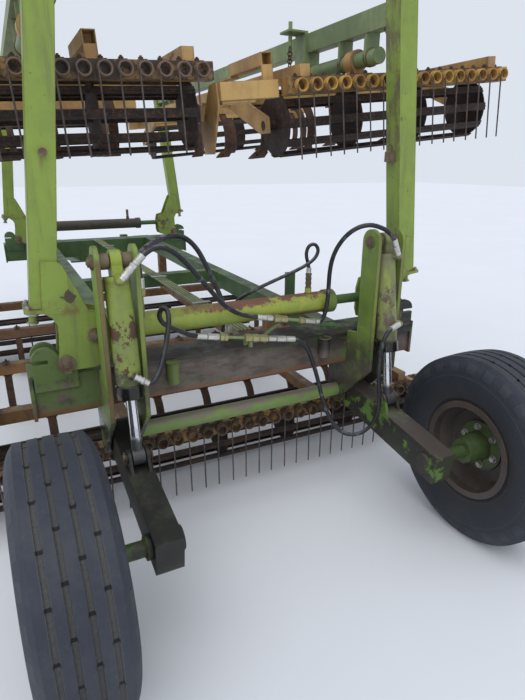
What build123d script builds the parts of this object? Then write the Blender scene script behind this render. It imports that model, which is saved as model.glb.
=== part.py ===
from build123d import *
import os
from math import cos, pi, radians, sin, tan

# Folded combination cultivator, trailed, with its two wings folded up.
# The origin is the centre of the hitch eye. +Y points forwards, along the travel,
# +X to the right and +Z up. All lengths are in millimetres.

os.makedirs("parts", exist_ok=True)

# Driving dimensions: stations along the machine
hitch_height = 480
hitch_to_axle = 6900
axle_to_lift_pin = 493
axle_to_post = 672.5
axle_to_arm_pivot = 720
post_spacing = 4180

# Driving dimensions: wheels
tyre_diameter = 965
tyre_width = 308
rim_flange_diameter = 500
wheel_track_half = 1010
hub_flange_diameter = 260
axle_stub_diameter = 64
axle_boss_diameter = 96

# Driving dimensions: carrying frame
cross_beam_depth = 200
cross_beam_height = 180
cross_beam_top = 970
cross_beam_half = 1025
beam_behind_post = -32.5
end_plate_thickness = 15
end_plate_margin = 12
rail_x = 580
rail_width = 100
rail_height = 120
mid_beam_back = 1880
mid_beam_size = 100
bush_x = 420
bush_diameter = 60
bush_height = 105

# Driving dimensions: wing hinge and posts
wing_lean = 6.3
post_side = 105
foot_x = 942
foot_height = 1270
post_length = 1440
foot_plate_side = 150
foot_plate_thickness = 15
stop_bolt_length = 56
stop_bolt_diameter = 30
hinge_x = 884
hinge_height = 1030
fold_pin_x = 755
fold_pin_height = 1145
knee_thickness = 15
ear_thickness = 20
ear_gap = 5
pin_diameter = 40
washer_diameter = 74
washer_thickness = 8
fold_boss_diameter = 150
running_fit = 0.05
seat_gap = 0.3

# Driving dimensions: wing beam, its pivot tubes and brackets
wing_beam_x = 820
wing_beam_height = 2522
wing_beam_side = 100
wing_gusset = 105
pivot_x = 820
pivot_drop = 162
pivot_tube_diameter = 80
pivot_tube_length = 680
pivot_leg_thickness = 20
pivot_leg_width = 84

# Driving dimensions: swing axle and lift cylinders
arm_x = 668
arm_width = 110
arm_depth = 150
arm_pivot_height = 590
arm_tail = 75
torsion_tube_diameter = 76
tower_gap = 130
tower_thickness = 20
tower_width = 126
lift_pin_height = 1470
lift_barrel_diameter = 105
lift_rod_diameter = 45
lift_eye_back = 360
lift_eye_height = 660
lift_barrel_length = 500
lift_head = 60
port_diameter = 34

# Driving dimensions: fold cylinders
fold_barrel_diameter = 110
fold_rod_diameter = 50
fold_collar_diameter = 124
fold_barrel_start = 205
fold_barrel_length = 1035
fold_collar_length = 50
fold_eye_diameter = 100
fold_eye_width = 40
fold_port_back = 145
fold_port_rise = 159.8

# Driving dimensions: tool sections
section_half = 750
centre_half = 1450
tube_size = 76
coil_count_wing = 17
coil_pitch = 86
coil_diameter = 66
coil_bore = 44
coil_length = 46
tine_wire = 10
tine_reach = 345
roller_diameter = 348
roller_drop = 165
roller_bar_count = 10
roller_shaft_diameter = 50
rail_size = 60
tip_clearance = 60

# Driving dimensions: drawbar and jack
drawbar_size = 120
drawbar_spread = 520
eye_outer_diameter = 130
eye_bore = 52
eye_thickness = 40
jack_back = 1150
jack_x = 460
jack_tube_side = 90
jack_leg_side = 70
jack_foot_diameter = 220


def height(above_ground):
    """Z of a level that is given above the ground."""
    return above_ground - hitch_height


axle_y = -hitch_to_axle
axle_z = height(tyre_diameter / 2)
arm_pivot_y = axle_y + axle_to_arm_pivot
arm_pivot_z = height(arm_pivot_height)
pivot_height = wing_beam_height - pivot_drop
lift_pin_y = axle_y + axle_to_lift_pin
lift_pin_z = height(lift_pin_height)
lift_eye_y = axle_y + lift_eye_back
lift_eye_z = height(lift_eye_height)
post_y = {"rear": axle_y + axle_to_post}
post_y["front"] = post_y["rear"] + post_spacing
post_half = post_side / 2
hinge_z = height(hinge_height)
fold_pin_z = height(fold_pin_height)
beam_top_z = height(cross_beam_top)
beam_mid_z = beam_top_z - cross_beam_height / 2
sides = (("left", -1), ("right", 1))
ends = ("rear", "front")


def site(spot):
    """Point given by its x, its distance ahead of the axle and its height above the ground."""
    return spot[0], axle_y + spot[1], height(spot[2])


def block(x0, x1, y0, y1, z0, z1, mode=Mode.ADD):
    """Box between two corners, in the part being built."""
    with Locations(((x0 + x1) / 2, (y0 + y1) / 2, (z0 + z1) / 2)):
        Box(abs(x1 - x0), abs(y1 - y0), abs(z1 - z0), mode=mode)


def bar(start, end, radius, mode=Mode.ADD):
    """Round bar from one point to another."""
    axis = Vector(*end) - Vector(*start)
    with BuildSketch(Plane(origin=start, z_dir=axis)) as section:
        Circle(radius)
    extrude(section.sketch, amount=axis.length, mode=mode)


def box_tube(start, end, width, depth, across=(1, 0, 0), mode=Mode.ADD):
    """Square tube between two points, its width along the direction across."""
    axis = Vector(*end) - Vector(*start)
    with BuildSketch(Plane(origin=start, x_dir=across, z_dir=axis)) as section:
        Rectangle(width, depth)
    extrude(section.sketch, amount=axis.length, mode=mode)


def plate_xz(points, y0, thickness, mode=Mode.ADD):
    """Flat plate of the outline points (x, z), from y0 forwards."""
    with BuildSketch(Plane(origin=(0, y0 + thickness, 0), x_dir=(1, 0, 0), z_dir=(0, -1, 0))) as outline:
        with BuildLine():
            Polyline(*points, close=True)
        make_face()
    extrude(outline.sketch, amount=thickness, mode=mode)


def plate_yz(points, x0, thickness, mode=Mode.ADD):
    """Flat plate of the outline points (y, z), from x0 to the right."""
    with BuildSketch(Plane.YZ.offset(x0)) as outline:
        with BuildLine():
            Polyline(*points, close=True)
        make_face()
    extrude(outline.sketch, amount=thickness, mode=mode)


def disc_y(x, z, y0, y1, radius, mode=Mode.ADD):
    """Round bar or bore along Y."""
    bar((x, y0, z), (x, y1, z), radius, mode)


def disc_x(y, z, x0, x1, radius, mode=Mode.ADD):
    """Round bar or bore along X."""
    bar((x0, y, z), (x1, y, z), radius, mode)


def save(piece, label):
    """Name a finished piece and write it."""
    piece.label = label
    export_step(piece, f"parts/{label}.step")


# Cross beams of the carrying frame, with end plates and hinge ears
hinge_bore = pin_diameter / 2 + running_fit
hook_x = hinge_x + 81
hook_radius = 55
hook_z = beam_top_z + 80
ear_inner_x = hinge_x - 44
ear_outer_x = hook_x + hook_radius
slot_length = 90
slot_width = 18
ear_skirt = 60
ear_faces = {
    "back": -post_half + ear_gap,
    "ahead": post_half - ear_gap - ear_thickness,
}
for end in ends:
    y = post_y[end]
    beam_back = y + beam_behind_post
    with BuildPart() as cross_beam:
        block(-cross_beam_half, cross_beam_half, beam_back, beam_back + cross_beam_depth,
              beam_top_z - cross_beam_height, beam_top_z)
        for side, sign in sides:
            plate_x0 = sign * cross_beam_half
            plate_x1 = sign * (cross_beam_half + end_plate_thickness)
            block(plate_x0, plate_x1, beam_back - end_plate_margin,
                  beam_back + cross_beam_depth + end_plate_margin,
                  beam_top_z - cross_beam_height - end_plate_margin, beam_top_z)
            for name, place in ear_faces.items():
                ear_foot = beam_top_z - (ear_skirt if name == "back" else 0)
                ear = [
                    (sign * ear_inner_x, ear_foot),
                    (sign * ear_inner_x, hinge_z),
                    (sign * hinge_x, hinge_z + 44),
                    (sign * hook_x, hook_z),
                    (sign * ear_outer_x, hook_z),
                    (sign * ear_outer_x, ear_foot),
                ]
                plate_xz(ear, y + place, ear_thickness)
                disc_y(sign * hook_x, hook_z, y + place, y + place + ear_thickness, hook_radius)
                disc_y(sign * hinge_x, hinge_z, y + place, y + place + ear_thickness, 44)
            disc_y(sign * hinge_x, hinge_z, y - post_side, y + post_side, hinge_bore, Mode.SUBTRACT)
            with Locations((sign * (hook_x + 35), y, hook_z - 8)):
                Box(slot_length, post_side, slot_width, mode=Mode.SUBTRACT)
            if end == "rear":
                bar((sign * bush_x, beam_back - bush_diameter / 2 + 4, beam_top_z - 12 - bush_height),
                    (sign * bush_x, beam_back - bush_diameter / 2 + 4, beam_top_z - 12), bush_diameter / 2)
    save(cross_beam.part, f"{end}_beam")

# Longitudinal rails between the cross beams, and the middle cross beam
rail_y0 = post_y["rear"] + beam_behind_post + cross_beam_depth
rail_y1 = post_y["front"] + beam_behind_post
mid_beam_y = post_y["rear"] + mid_beam_back
rail_inner = rail_x - rail_width / 2
with BuildPart() as rails:
    for side, sign in sides:
        block(sign * rail_inner, sign * (rail_x + rail_width / 2), rail_y0, rail_y1,
              beam_top_z - rail_height, beam_top_z)
    block(-rail_inner + seat_gap, rail_inner - seat_gap, mid_beam_y, mid_beam_y + mid_beam_size,
          beam_top_z - mid_beam_size, beam_top_z)
save(rails.part, "frame_rails")

# Drawbar with its hitch eye
drawbar_y0 = post_y["front"] + beam_behind_post + cross_beam_depth + 20
drawbar_nose_y = -230
nose_x = 75
head_half_x = 165
head_half_y = 60
head_half_z = 66


def drawbar_at(y):
    """Centre of a drawbar leg at a station, as its x and z."""
    share = (y - drawbar_nose_y) / (drawbar_y0 - drawbar_nose_y)
    return nose_x + share * (drawbar_spread - nose_x), share * beam_mid_z


def drawbar_leg(sign, mode=Mode.ADD):
    """One leg of the drawbar, running past both of its ends."""
    back_x, back_z = drawbar_at(drawbar_y0 - 80)
    box_tube((sign * back_x, drawbar_y0 - 80, back_z), (sign * nose_x, drawbar_nose_y, 0),
             drawbar_size, drawbar_size, mode=mode)


with BuildPart() as drawbar_legs:
    for side, sign in sides:
        drawbar_leg(sign)
    block(-1000, 1000, drawbar_y0 - 400, drawbar_y0, -100, 900, Mode.SUBTRACT)
    block(-1000, 1000, drawbar_nose_y - head_half_y, 0, -300, 300, Mode.SUBTRACT)
save(drawbar_legs.part, "drawbar_legs")

brace_y = -1255
brace_x, brace_z = drawbar_at(brace_y)
jack_y = -jack_back
jack_leg_x, jack_leg_z = drawbar_at(jack_y)
jack_bracket_x = jack_x - jack_tube_side / 2
with BuildPart() as drawbar_plates:
    block(-head_half_x, head_half_x, drawbar_nose_y - head_half_y, drawbar_nose_y + head_half_y,
          -head_half_z, head_half_z + 14)
    for side, sign in sides:
        block(sign * (drawbar_spread - 100), sign * (drawbar_spread + 100), drawbar_y0 - 20, drawbar_y0,
              beam_top_z - cross_beam_height, beam_top_z)
    block(-brace_x, brace_x, brace_y - 45, brace_y + 45, brace_z - 40, brace_z + 40)
    block(jack_leg_x, jack_bracket_x, jack_y - 45, jack_y + 45, jack_leg_z - 50, jack_leg_z + 50)
    for side, sign in sides:
        drawbar_leg(sign, Mode.SUBTRACT)
    block(-head_half_x, head_half_x, drawbar_nose_y - head_half_y, drawbar_nose_y + head_half_y,
          -head_half_z, head_half_z + 14)
save(drawbar_plates.part, "drawbar_plates")

with BuildPart() as hitch:
    block(-35, 35, drawbar_nose_y + 60, 0, -eye_thickness / 2, eye_thickness / 2)
    with BuildSketch(Plane.XY.offset(-eye_thickness / 2)):
        Circle(eye_outer_diameter / 2)
    extrude(amount=eye_thickness)
    with BuildSketch(Plane.XY.offset(-eye_thickness / 2)):
        Circle(eye_bore / 2)
    extrude(amount=eye_thickness, mode=Mode.SUBTRACT)
save(hitch.part, "hitch_eye")

# Lift towers: two plates a side that carry the cylinder head and the arm pivot
tower_back_y = lift_pin_y - tower_width / 2
tower_front_y = lift_pin_y + tower_width / 2
tower_faces = (arm_x - tower_gap / 2 - tower_thickness, arm_x + tower_gap / 2)
beam_rear_y = post_y["rear"] + beam_behind_post
beam_low_z = beam_top_z - cross_beam_height
torsion_radius = torsion_tube_diameter / 2
with BuildPart() as towers:
    for side, sign in sides:
        for face in tower_faces:
            x0 = face if sign > 0 else -face - tower_thickness
            outline = [
                (tower_back_y, lift_pin_z),
                (tower_back_y, height(800)),
                (arm_pivot_y - 78, arm_pivot_z),
                (arm_pivot_y + 78, arm_pivot_z),
                (arm_pivot_y + 90, beam_low_z),
                (beam_rear_y, beam_low_z),
                (beam_rear_y, beam_top_z),
                (tower_front_y, beam_top_z + 14),
                (tower_front_y, lift_pin_z),
            ]
            plate_yz(outline, x0, tower_thickness)
            disc_x(lift_pin_y, lift_pin_z, x0, x0 + tower_thickness, tower_width / 2)
            disc_x(arm_pivot_y, arm_pivot_z, x0, x0 + tower_thickness, 78)
        disc_x(lift_pin_y, lift_pin_z, sign * 500, sign * 850, hinge_bore, Mode.SUBTRACT)
        disc_x(arm_pivot_y, arm_pivot_z, sign * 500, sign * 850,
               torsion_radius + running_fit, Mode.SUBTRACT)
save(towers.part, "lift_towers")

# Pins of the wing hinges and of the cylinder heads, carried by the frame
knee_back = -post_half - knee_thickness
knee_ahead = post_half
lift_pin_half = tower_gap / 2 + tower_thickness
lift_eye_half = 22
bush_start = lift_eye_half + 4
with BuildPart() as frame_pins:
    for end in ends:
        for side, sign in sides:
            y0 = post_y[end] + knee_back - seat_gap - washer_thickness
            y1 = post_y[end] + knee_ahead + knee_thickness + seat_gap + washer_thickness
            disc_y(sign * hinge_x, hinge_z, y0, y1, pin_diameter / 2)
            disc_y(sign * hinge_x, hinge_z, y0, y0 + washer_thickness, washer_diameter / 2)
            disc_y(sign * hinge_x, hinge_z, y1 - washer_thickness, y1, washer_diameter / 2)
    for side, sign in sides:
        x0 = arm_x - lift_pin_half - seat_gap - washer_thickness
        x1 = arm_x + lift_pin_half + seat_gap + washer_thickness
        disc_x(lift_pin_y, lift_pin_z, sign * x0, sign * x1, pin_diameter / 2)
        disc_x(lift_pin_y, lift_pin_z, sign * x0, sign * (x0 + washer_thickness), 30)
        disc_x(lift_pin_y, lift_pin_z, sign * (x1 - washer_thickness), sign * x1, 30)
        for way in (-1, 1):
            near = sign * arm_x + way * bush_start
            disc_x(lift_pin_y, lift_pin_z, near, sign * arm_x + way * (tower_gap / 2 - seat_gap), 32)
save(frame_pins.part, "frame_pins")

# Swing axle: torsion tube, two trailing arms, stub axles and rod clevises
arm_run = Vector(0, axle_y - arm_pivot_y, axle_z - arm_pivot_z)
arm_dir = arm_run.normalized()
clevis_gap = 62
clevis_thickness = 14
clevis_radius = 34
rod_pin_diameter = 34
hub_back_x = wheel_track_half - 150
stub_end_x = wheel_track_half + 30
with BuildPart() as swing_axle:
    disc_x(arm_pivot_y, arm_pivot_z, -arm_x - lift_pin_half, arm_x + lift_pin_half, torsion_radius)
    for side, sign in sides:
        tail = Vector(sign * arm_x, axle_y, axle_z) + arm_dir * arm_tail
        box_tube((sign * arm_x, arm_pivot_y, arm_pivot_z), tuple(tail), arm_width, arm_depth)
        disc_x(arm_pivot_y, arm_pivot_z, sign * (arm_x - arm_width / 2), sign * (arm_x + arm_width / 2),
               arm_depth / 2)
        disc_x(axle_y, axle_z, sign * (arm_x - arm_width / 2 - 15), sign * (arm_x + arm_width / 2 + 20),
               axle_boss_diameter / 2)
        disc_x(axle_y, axle_z, sign * arm_x, sign * stub_end_x, axle_stub_diameter / 2)
        for cheek in (-1, 1):
            inner = sign * arm_x + cheek * clevis_gap / 2
            outer = inner + cheek * clevis_thickness
            x0 = min(inner, outer)
            ear = [
                (lift_eye_y - 70, lift_eye_z - 90),
                (lift_eye_y - clevis_radius, lift_eye_z),
                (lift_eye_y + clevis_radius, lift_eye_z),
                (lift_eye_y + 80, lift_eye_z - 80),
            ]
            plate_yz(ear, x0, clevis_thickness)
            disc_x(lift_eye_y, lift_eye_z, inner, outer, clevis_radius)
            disc_x(lift_eye_y, lift_eye_z, outer, outer + cheek * 10, rod_pin_diameter / 2 + 6)
save(swing_axle.part, "swing_axle")

# Wheels: ribbed implement tyre, disc rim and hub
tyre_radius = tyre_diameter / 2
bead_radius = rim_flange_diameter / 2 - 18
tread_half = 132
groove_depth = 11
groove_width = 16
groove_offsets = (-78, -27, 27, 78)
flange_radius = rim_flange_diameter / 2
flange_half = 127
flange_lip = 12
bead_half = flange_half - flange_lip - seat_gap
rim_disc = -10
for side, sign in sides:
    wheel_plane = Plane(origin=(sign * wheel_track_half, axle_y, axle_z), x_dir=(sign, 0, 0),
                        z_dir=(0, -1, 0))
    with BuildPart() as tyre:
        with BuildSketch(wheel_plane):
            with BuildLine():
                Line((-bead_half, bead_radius), (-bead_half, flange_radius + 4))
                ThreePointArc((-bead_half, flange_radius + 4), (-tyre_width / 2, bead_radius + 110),
                              (-tread_half, tyre_radius - 26))
                Line((-tread_half, tyre_radius - 26), (-tread_half + 14, tyre_radius - 6))
                ThreePointArc((-tread_half + 14, tyre_radius - 6), (0, tyre_radius),
                              (tread_half - 14, tyre_radius - 6))
                Line((tread_half - 14, tyre_radius - 6), (tread_half, tyre_radius - 26))
                ThreePointArc((tread_half, tyre_radius - 26), (tyre_width / 2, bead_radius + 110),
                              (bead_half, flange_radius + 4))
                Line((bead_half, flange_radius + 4), (bead_half, bead_radius))
                Line((bead_half, bead_radius), (-bead_half, bead_radius))
            make_face()
            for offset in groove_offsets:
                with Locations((offset, tyre_radius)):
                    Rectangle(groove_width, 2 * groove_depth, mode=Mode.SUBTRACT)
        revolve(axis=Axis((0, axle_y, axle_z), (1, 0, 0)))
    save(tyre.part, f"tyre_{side}")
    with BuildPart() as rim:
        with BuildSketch(wheel_plane):
            with BuildLine():
                Polyline(
                    (-flange_half, flange_radius), (-flange_half + flange_lip, flange_radius),
                    (-flange_half + flange_lip, bead_radius - seat_gap),
                    (flange_half - flange_lip, bead_radius - seat_gap),
                    (flange_half - flange_lip, flange_radius), (flange_half, flange_radius),
                    (flange_half, bead_radius - 14), (60, bead_radius - 44),
                    (rim_disc + 12, bead_radius - 44), (rim_disc + 12, 64), (rim_disc, 64),
                    (rim_disc, bead_radius - 44), (-80, bead_radius - 14),
                    (-flange_half, bead_radius - 14),
                    close=True,
                )
            make_face()
        revolve(axis=Axis((0, axle_y, axle_z), (1, 0, 0)))
        bore = axle_stub_diameter / 2 + running_fit
        with BuildSketch(wheel_plane):
            with BuildLine():
                Polyline(
                    (-150, bore), (-150, 62), (-60, 74), (rim_disc - 16, 74),
                    (rim_disc - 16, hub_flange_diameter / 2), (rim_disc, hub_flange_diameter / 2),
                    (rim_disc, 62), (60, 56), (74, 40), (74, 0), (40, 0), (40, bore),
                    close=True,
                )
            make_face()
        revolve(axis=Axis((0, axle_y, axle_z), (1, 0, 0)))
    save(rim.part, f"rim_{side}")

# Lift cylinders: barrel hung from the tower pin, rod down to the arm's clevis
lift_axis = Vector(0, lift_eye_y - lift_pin_y, lift_eye_z - lift_pin_z)
lift_length = lift_axis.length
lift_dir = lift_axis.normalized()
lift_rod_radius = lift_rod_diameter / 2
lift_bore = lift_rod_radius + running_fit
lift_gland_end = lift_head + lift_barrel_length
rod_inside = 100


def along_lift(sign, distance):
    """Point on a lift cylinder's axis, measured from the tower pin."""
    return tuple(Vector(sign * arm_x, lift_pin_y, lift_pin_z) + lift_dir * distance)


# Hydraulic ports: side, end of the boss, end of the elbow, both as x, y from the axle, height
port_radius = port_diameter / 2
elbow_radius = 13
lift_ports = (
    ("left", (-672, 392, 1408), (-612, 388, 1470)),
    ("left", (-664, 358, 1028), (-622, 350, 1000)),
    ("right", (698, 414, 1405), (671, 408, 1458)),
    ("right", (711, 372.5, 1066), (655, 348, 1062)),
)
for side, sign in sides:
    with BuildPart() as lift_barrel:
        disc_x(lift_pin_y, lift_pin_z, sign * arm_x - lift_eye_half, sign * arm_x + lift_eye_half, 44)
        box_tube(along_lift(sign, 0), along_lift(sign, lift_head + 20), 2 * lift_eye_half, 80)
        bar(along_lift(sign, lift_head), along_lift(sign, lift_gland_end - 55), lift_barrel_diameter / 2)
        bar(along_lift(sign, lift_gland_end - 55), along_lift(sign, lift_gland_end),
            lift_barrel_diameter / 2 + 6)
        for port_side, boss_end, elbow_end in lift_ports:
            if port_side == side:
                axis_y = lift_pin_y + lift_dir.Y * (height(boss_end[2]) - lift_pin_z) / lift_dir.Z
                bar((sign * arm_x, axis_y, height(boss_end[2])), site(boss_end), port_radius)
                bar(site(boss_end), site(elbow_end), elbow_radius)
                with Locations(site(boss_end)):
                    Sphere(port_radius)
        bar(along_lift(sign, lift_head + 30), along_lift(sign, lift_gland_end + 5), lift_bore, Mode.SUBTRACT)
        disc_x(lift_pin_y, lift_pin_z, sign * arm_x - 60, sign * arm_x + 60, hinge_bore, Mode.SUBTRACT)
    save(lift_barrel.part, f"lift_barrel_{side}")
    with BuildPart() as lift_rod:
        bar(along_lift(sign, lift_head + rod_inside + 160), along_lift(sign, lift_length), lift_rod_radius)
        disc_x(lift_eye_y, lift_eye_z, sign * arm_x - 26, sign * arm_x + 26, 36)
    save(lift_rod.part, f"lift_rod_{side}")

# Fold cylinders: one between the rear knees and one between the front knees
fold_bore = fold_rod_diameter / 2 + running_fit
fold_barrel_x0 = -fold_pin_x + fold_barrel_start
fold_barrel_x1 = fold_barrel_x0 + fold_barrel_length
fold_rod_start = fold_barrel_x1 - 780
for end in ends:
    y = post_y[end]
    eye_half = fold_eye_width / 2
    with BuildPart() as fold_barrel:
        disc_y(-fold_pin_x, fold_pin_z, y - eye_half, y + eye_half, fold_eye_diameter / 2)
        disc_x(y, fold_pin_z, -fold_pin_x, fold_barrel_x0, 19)
        disc_x(y, fold_pin_z, fold_barrel_x0, fold_barrel_x1, fold_barrel_diameter / 2)
        disc_x(y, fold_pin_z, fold_barrel_x1 - fold_collar_length, fold_barrel_x1, fold_collar_diameter / 2)
        disc_x(y, fold_pin_z, fold_barrel_x0 + 60, fold_barrel_x1 + 5, fold_bore, Mode.SUBTRACT)
        disc_y(-fold_pin_x, fold_pin_z, y - 60, y + 60, hinge_bore, Mode.SUBTRACT)
        bar((fold_barrel_x1 - fold_port_back, y, fold_pin_z + 40),
            (fold_barrel_x1 - fold_port_back, y, fold_pin_z + 84), port_diameter / 2)
        bar((fold_barrel_x1 - fold_port_back, y, fold_pin_z + 80),
            (fold_barrel_x1 - fold_port_back, y, fold_pin_z + fold_port_rise), elbow_radius)
    save(fold_barrel.part, f"fold_barrel_{end}")
    with BuildPart() as fold_rod:
        disc_x(y, fold_pin_z, fold_rod_start, fold_pin_x, fold_rod_diameter / 2)
        disc_y(fold_pin_x, fold_pin_z, y - eye_half, y + eye_half, fold_eye_diameter / 2)
    save(fold_rod.part, f"fold_rod_{end}")

# Wings: rear and front post on knee plates, with the long beam between them
lean = radians(wing_lean)
beam_y0 = post_y["rear"] + post_half
beam_y1 = post_y["front"] - post_half
# Knee outline in the folded position: distance from the middle, height above ground
knee_outline = (
    (933, 1467), (877, 1465), (855, 1451), (821, 1377), (769, 1252), (706, 1236), (692, 1180),
    (692, 1060), (705, 1018), (768, 997), (884, 997), (916, 1010), (899, 1142), (898, 1197),
    (915, 1233), (952, 1262),
)
pivot_spans = {
    "rear": beam_y0 + 115,
    "front": beam_y1 - 115 - pivot_tube_length,
}
pivot_legs = {
    "rear": (62, 300, 650),
    "front": (10, 360, 598),
}
bracket_offset = {"rear": 650, "front": -90}
for side, sign in sides:
    across = (cos(lean), 0, sign * sin(lean))
    direction = Vector(-sign * sin(lean), 0, cos(lean))
    with BuildPart() as posts:
        for end in ends:
            y = post_y[end]
            foot = Vector(sign * foot_x, y, height(foot_height))
            box_tube(tuple(foot), tuple(foot + direction * post_length), post_side, post_side, across)
            box_tube(tuple(foot - direction * foot_plate_thickness), tuple(foot), foot_plate_side,
                     foot_plate_side - 14, across)
            stop = foot + Vector(*across) * (sign * 40)
            bar(tuple(stop - direction * (foot_plate_thickness + stop_bolt_length)), tuple(stop),
                stop_bolt_diameter / 2)
            outline = [(sign * x, height(z)) for x, z in knee_outline]
            for place in (knee_back, knee_ahead):
                plate_xz(outline, y + place, knee_thickness)
                disc_y(sign * hinge_x, hinge_z, y + place, y + place + knee_thickness, 33)
            disc_y(sign * hinge_x, hinge_z, y - post_side, y + post_side, hinge_bore, Mode.SUBTRACT)
            y_out = y + knee_back - washer_thickness
            y_in = y + knee_ahead + knee_thickness + washer_thickness
            if side == "left":
                disc_y(-fold_pin_x, fold_pin_z, y_out, y_in, pin_diameter / 2)
                disc_y(-fold_pin_x, fold_pin_z, y_out, y_out + washer_thickness, washer_diameter / 2)
                disc_y(-fold_pin_x, fold_pin_z, y_in - washer_thickness, y_in, washer_diameter / 2)
            else:
                disc_y(fold_pin_x, fold_pin_z, y_out, y_out + washer_thickness, fold_boss_diameter / 2)
                disc_y(fold_pin_x, fold_pin_z, y_out, y_out + washer_thickness, pin_diameter / 2,
                       Mode.SUBTRACT)
                disc_y(fold_pin_x, fold_pin_z, y_in - washer_thickness, y_in, washer_diameter / 2)
    save(posts.part, f"wing_posts_{side}")

    # Long beam with its gussets, pivot tubes on legs and chain brackets
    with BuildPart() as wing_beam:
        beam_mid = height(wing_beam_height)
        pivot_z = height(pivot_height)
        under = wing_beam_side / 2 + wing_gusset
        box_tube((sign * wing_beam_x, beam_y0, beam_mid), (sign * wing_beam_x, beam_y1, beam_mid),
                 wing_beam_side, wing_beam_side, across)
        for start, way in ((beam_y0, 1), (beam_y1, -1)):
            gusset = [
                (start, beam_mid - 40),
                (start + way * wing_gusset, beam_mid - 40),
                (start, beam_mid - under),
            ]
            plate_yz(gusset, sign * (wing_beam_x + 4) - 6, 12)
        for end in ends:
            y0 = pivot_spans[end]
            disc_y(sign * pivot_x, pivot_z, y0, y0 + pivot_tube_length, pivot_tube_diameter / 2)
            for leg_offset in pivot_legs[end]:
                leg_y = y0 + leg_offset
                block(sign * pivot_x - pivot_leg_width / 2, sign * pivot_x + pivot_leg_width / 2,
                      leg_y, leg_y + pivot_leg_thickness, pivot_z, beam_mid)
            bracket_y = y0 + bracket_offset[end]
            inner_x = sign * (pivot_x - 42)
            block(inner_x, inner_x - sign * 20, bracket_y, bracket_y + 120, pivot_z - 40, beam_mid + 50)
            block(inner_x, inner_x - sign * 130, bracket_y, bracket_y + 120, beam_mid + 50, beam_mid + 62)
            bar((inner_x - sign * 90, bracket_y + 60, beam_mid - 20),
                (inner_x - sign * 90, bracket_y + 60, beam_mid + 112), 12)
    save(wing_beam.part, f"wing_beam_{side}")

# Tool sections, each built about x = 0 with its harrow bar at z = 0
tube_half = tube_size / 2
harrow_y = post_y["rear"] + 250
tube_stations = tuple(post_y["rear"] + offset for offset in (860, 1700, 2600, 3600))
roller_rear_y = post_y["rear"] + 480
roller_front_y = post_y["rear"] + 3070
rail_ahead_y = tube_stations[3] + tube_size
link_y = {"rear": post_y["rear"] + 380, "front": tube_stations[3] + tube_half}
link_flat = 20
link_flat_width = 100
roller_z = -roller_drop
arm_plate = 20
roller_margin = 50
roller_names = ("roller_rear", "roller_front")
high_rail = 110
link_half = 35
link_ring_diameter = 112
strut_half = 40
tine_pitch = 330
centre_bar_z = height(tip_clearance) + tine_reach
end_beam_span = (-1090, -776)
end_beam_y = post_y["rear"] + 307
end_beam_half = 44
high_rail_y = (post_y["rear"] + 342, post_y["rear"] + 754)


def add_high_rail(high_rail_x, end_beam):
    """Rail with an open rear end that stands on the harrow bar and reaches to the first tube."""
    x0 = high_rail_x - rail_size / 2
    x1 = high_rail_x + rail_size / 2
    y0, y1 = high_rail_y
    under = tube_half + seat_gap
    block(x0, x1, y0, y1, high_rail, high_rail + rail_size)
    block(x0 + 5, x1 - 5, y0 - 1, y0 + 70, high_rail + 5, high_rail + rail_size - 5, Mode.SUBTRACT)
    block(x0, x1, y0, y0 + 12, under if end_beam else -20, high_rail)
    if not end_beam:
        block(x0, x1, harrow_y + under, y0, -20, tube_half)
    foot_x1 = -section_half - arm_plate - 2 * seat_gap if end_beam else x1
    tube_y = tube_stations[0]
    block(x0, foot_x1, y1 - 14, tube_y + tube_size, high_rail - 12, high_rail)
    block(x0, foot_x1, tube_y + 40, tube_y + tube_size, -tube_half if end_beam else under, high_rail)


def add_end_beam():
    """Box beam that carries on the harrow bar, with a strip below it and a hanging shield."""
    x0, x1 = end_beam_span
    block(x0, x1, end_beam_y - end_beam_half, end_beam_y + end_beam_half, -end_beam_half, tube_half)
    block(x0 + 10, x0 + 190, end_beam_y - 30, end_beam_y + 30, -end_beam_half - 14,
          -end_beam_half - seat_gap)
    shield = [
        (end_beam_y - 20, tube_half),
        (end_beam_y + end_beam_half + 20, tube_half),
        (roller_rear_y + 60, roller_z + 10),
        (roller_rear_y + 60, roller_z - 115),
        (roller_rear_y - 60, roller_z - 115),
        (end_beam_y - 20, -end_beam_half - 20),
    ]
    plate_yz(shield, x0 - seat_gap - 12, 12)


def add_arms(half_width):
    """Plates that carry the ends of the rollers."""
    for roller_y, mount_y in ((roller_rear_y, tube_stations[0]), (roller_front_y, tube_stations[2])):
        away = 1 if mount_y > roller_y else -1
        near_y = mount_y if away > 0 else mount_y + tube_size
        for edge in (-half_width - arm_plate - seat_gap, half_width + seat_gap):
            arm = [
                (roller_y - away * 45, roller_z - 40),
                (roller_y + away * 45, roller_z - 40),
                (near_y + away * tube_size, -tube_half),
                (near_y + away * tube_size, tube_half),
                (near_y, tube_half),
                (roller_y - away * 45, roller_z + 40),
            ]
            plate_yz(arm, edge, arm_plate)
        disc_x(roller_y, roller_z, -half_width - 60, half_width + 60,
               roller_shaft_diameter / 2 + running_fit, Mode.SUBTRACT)


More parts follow.
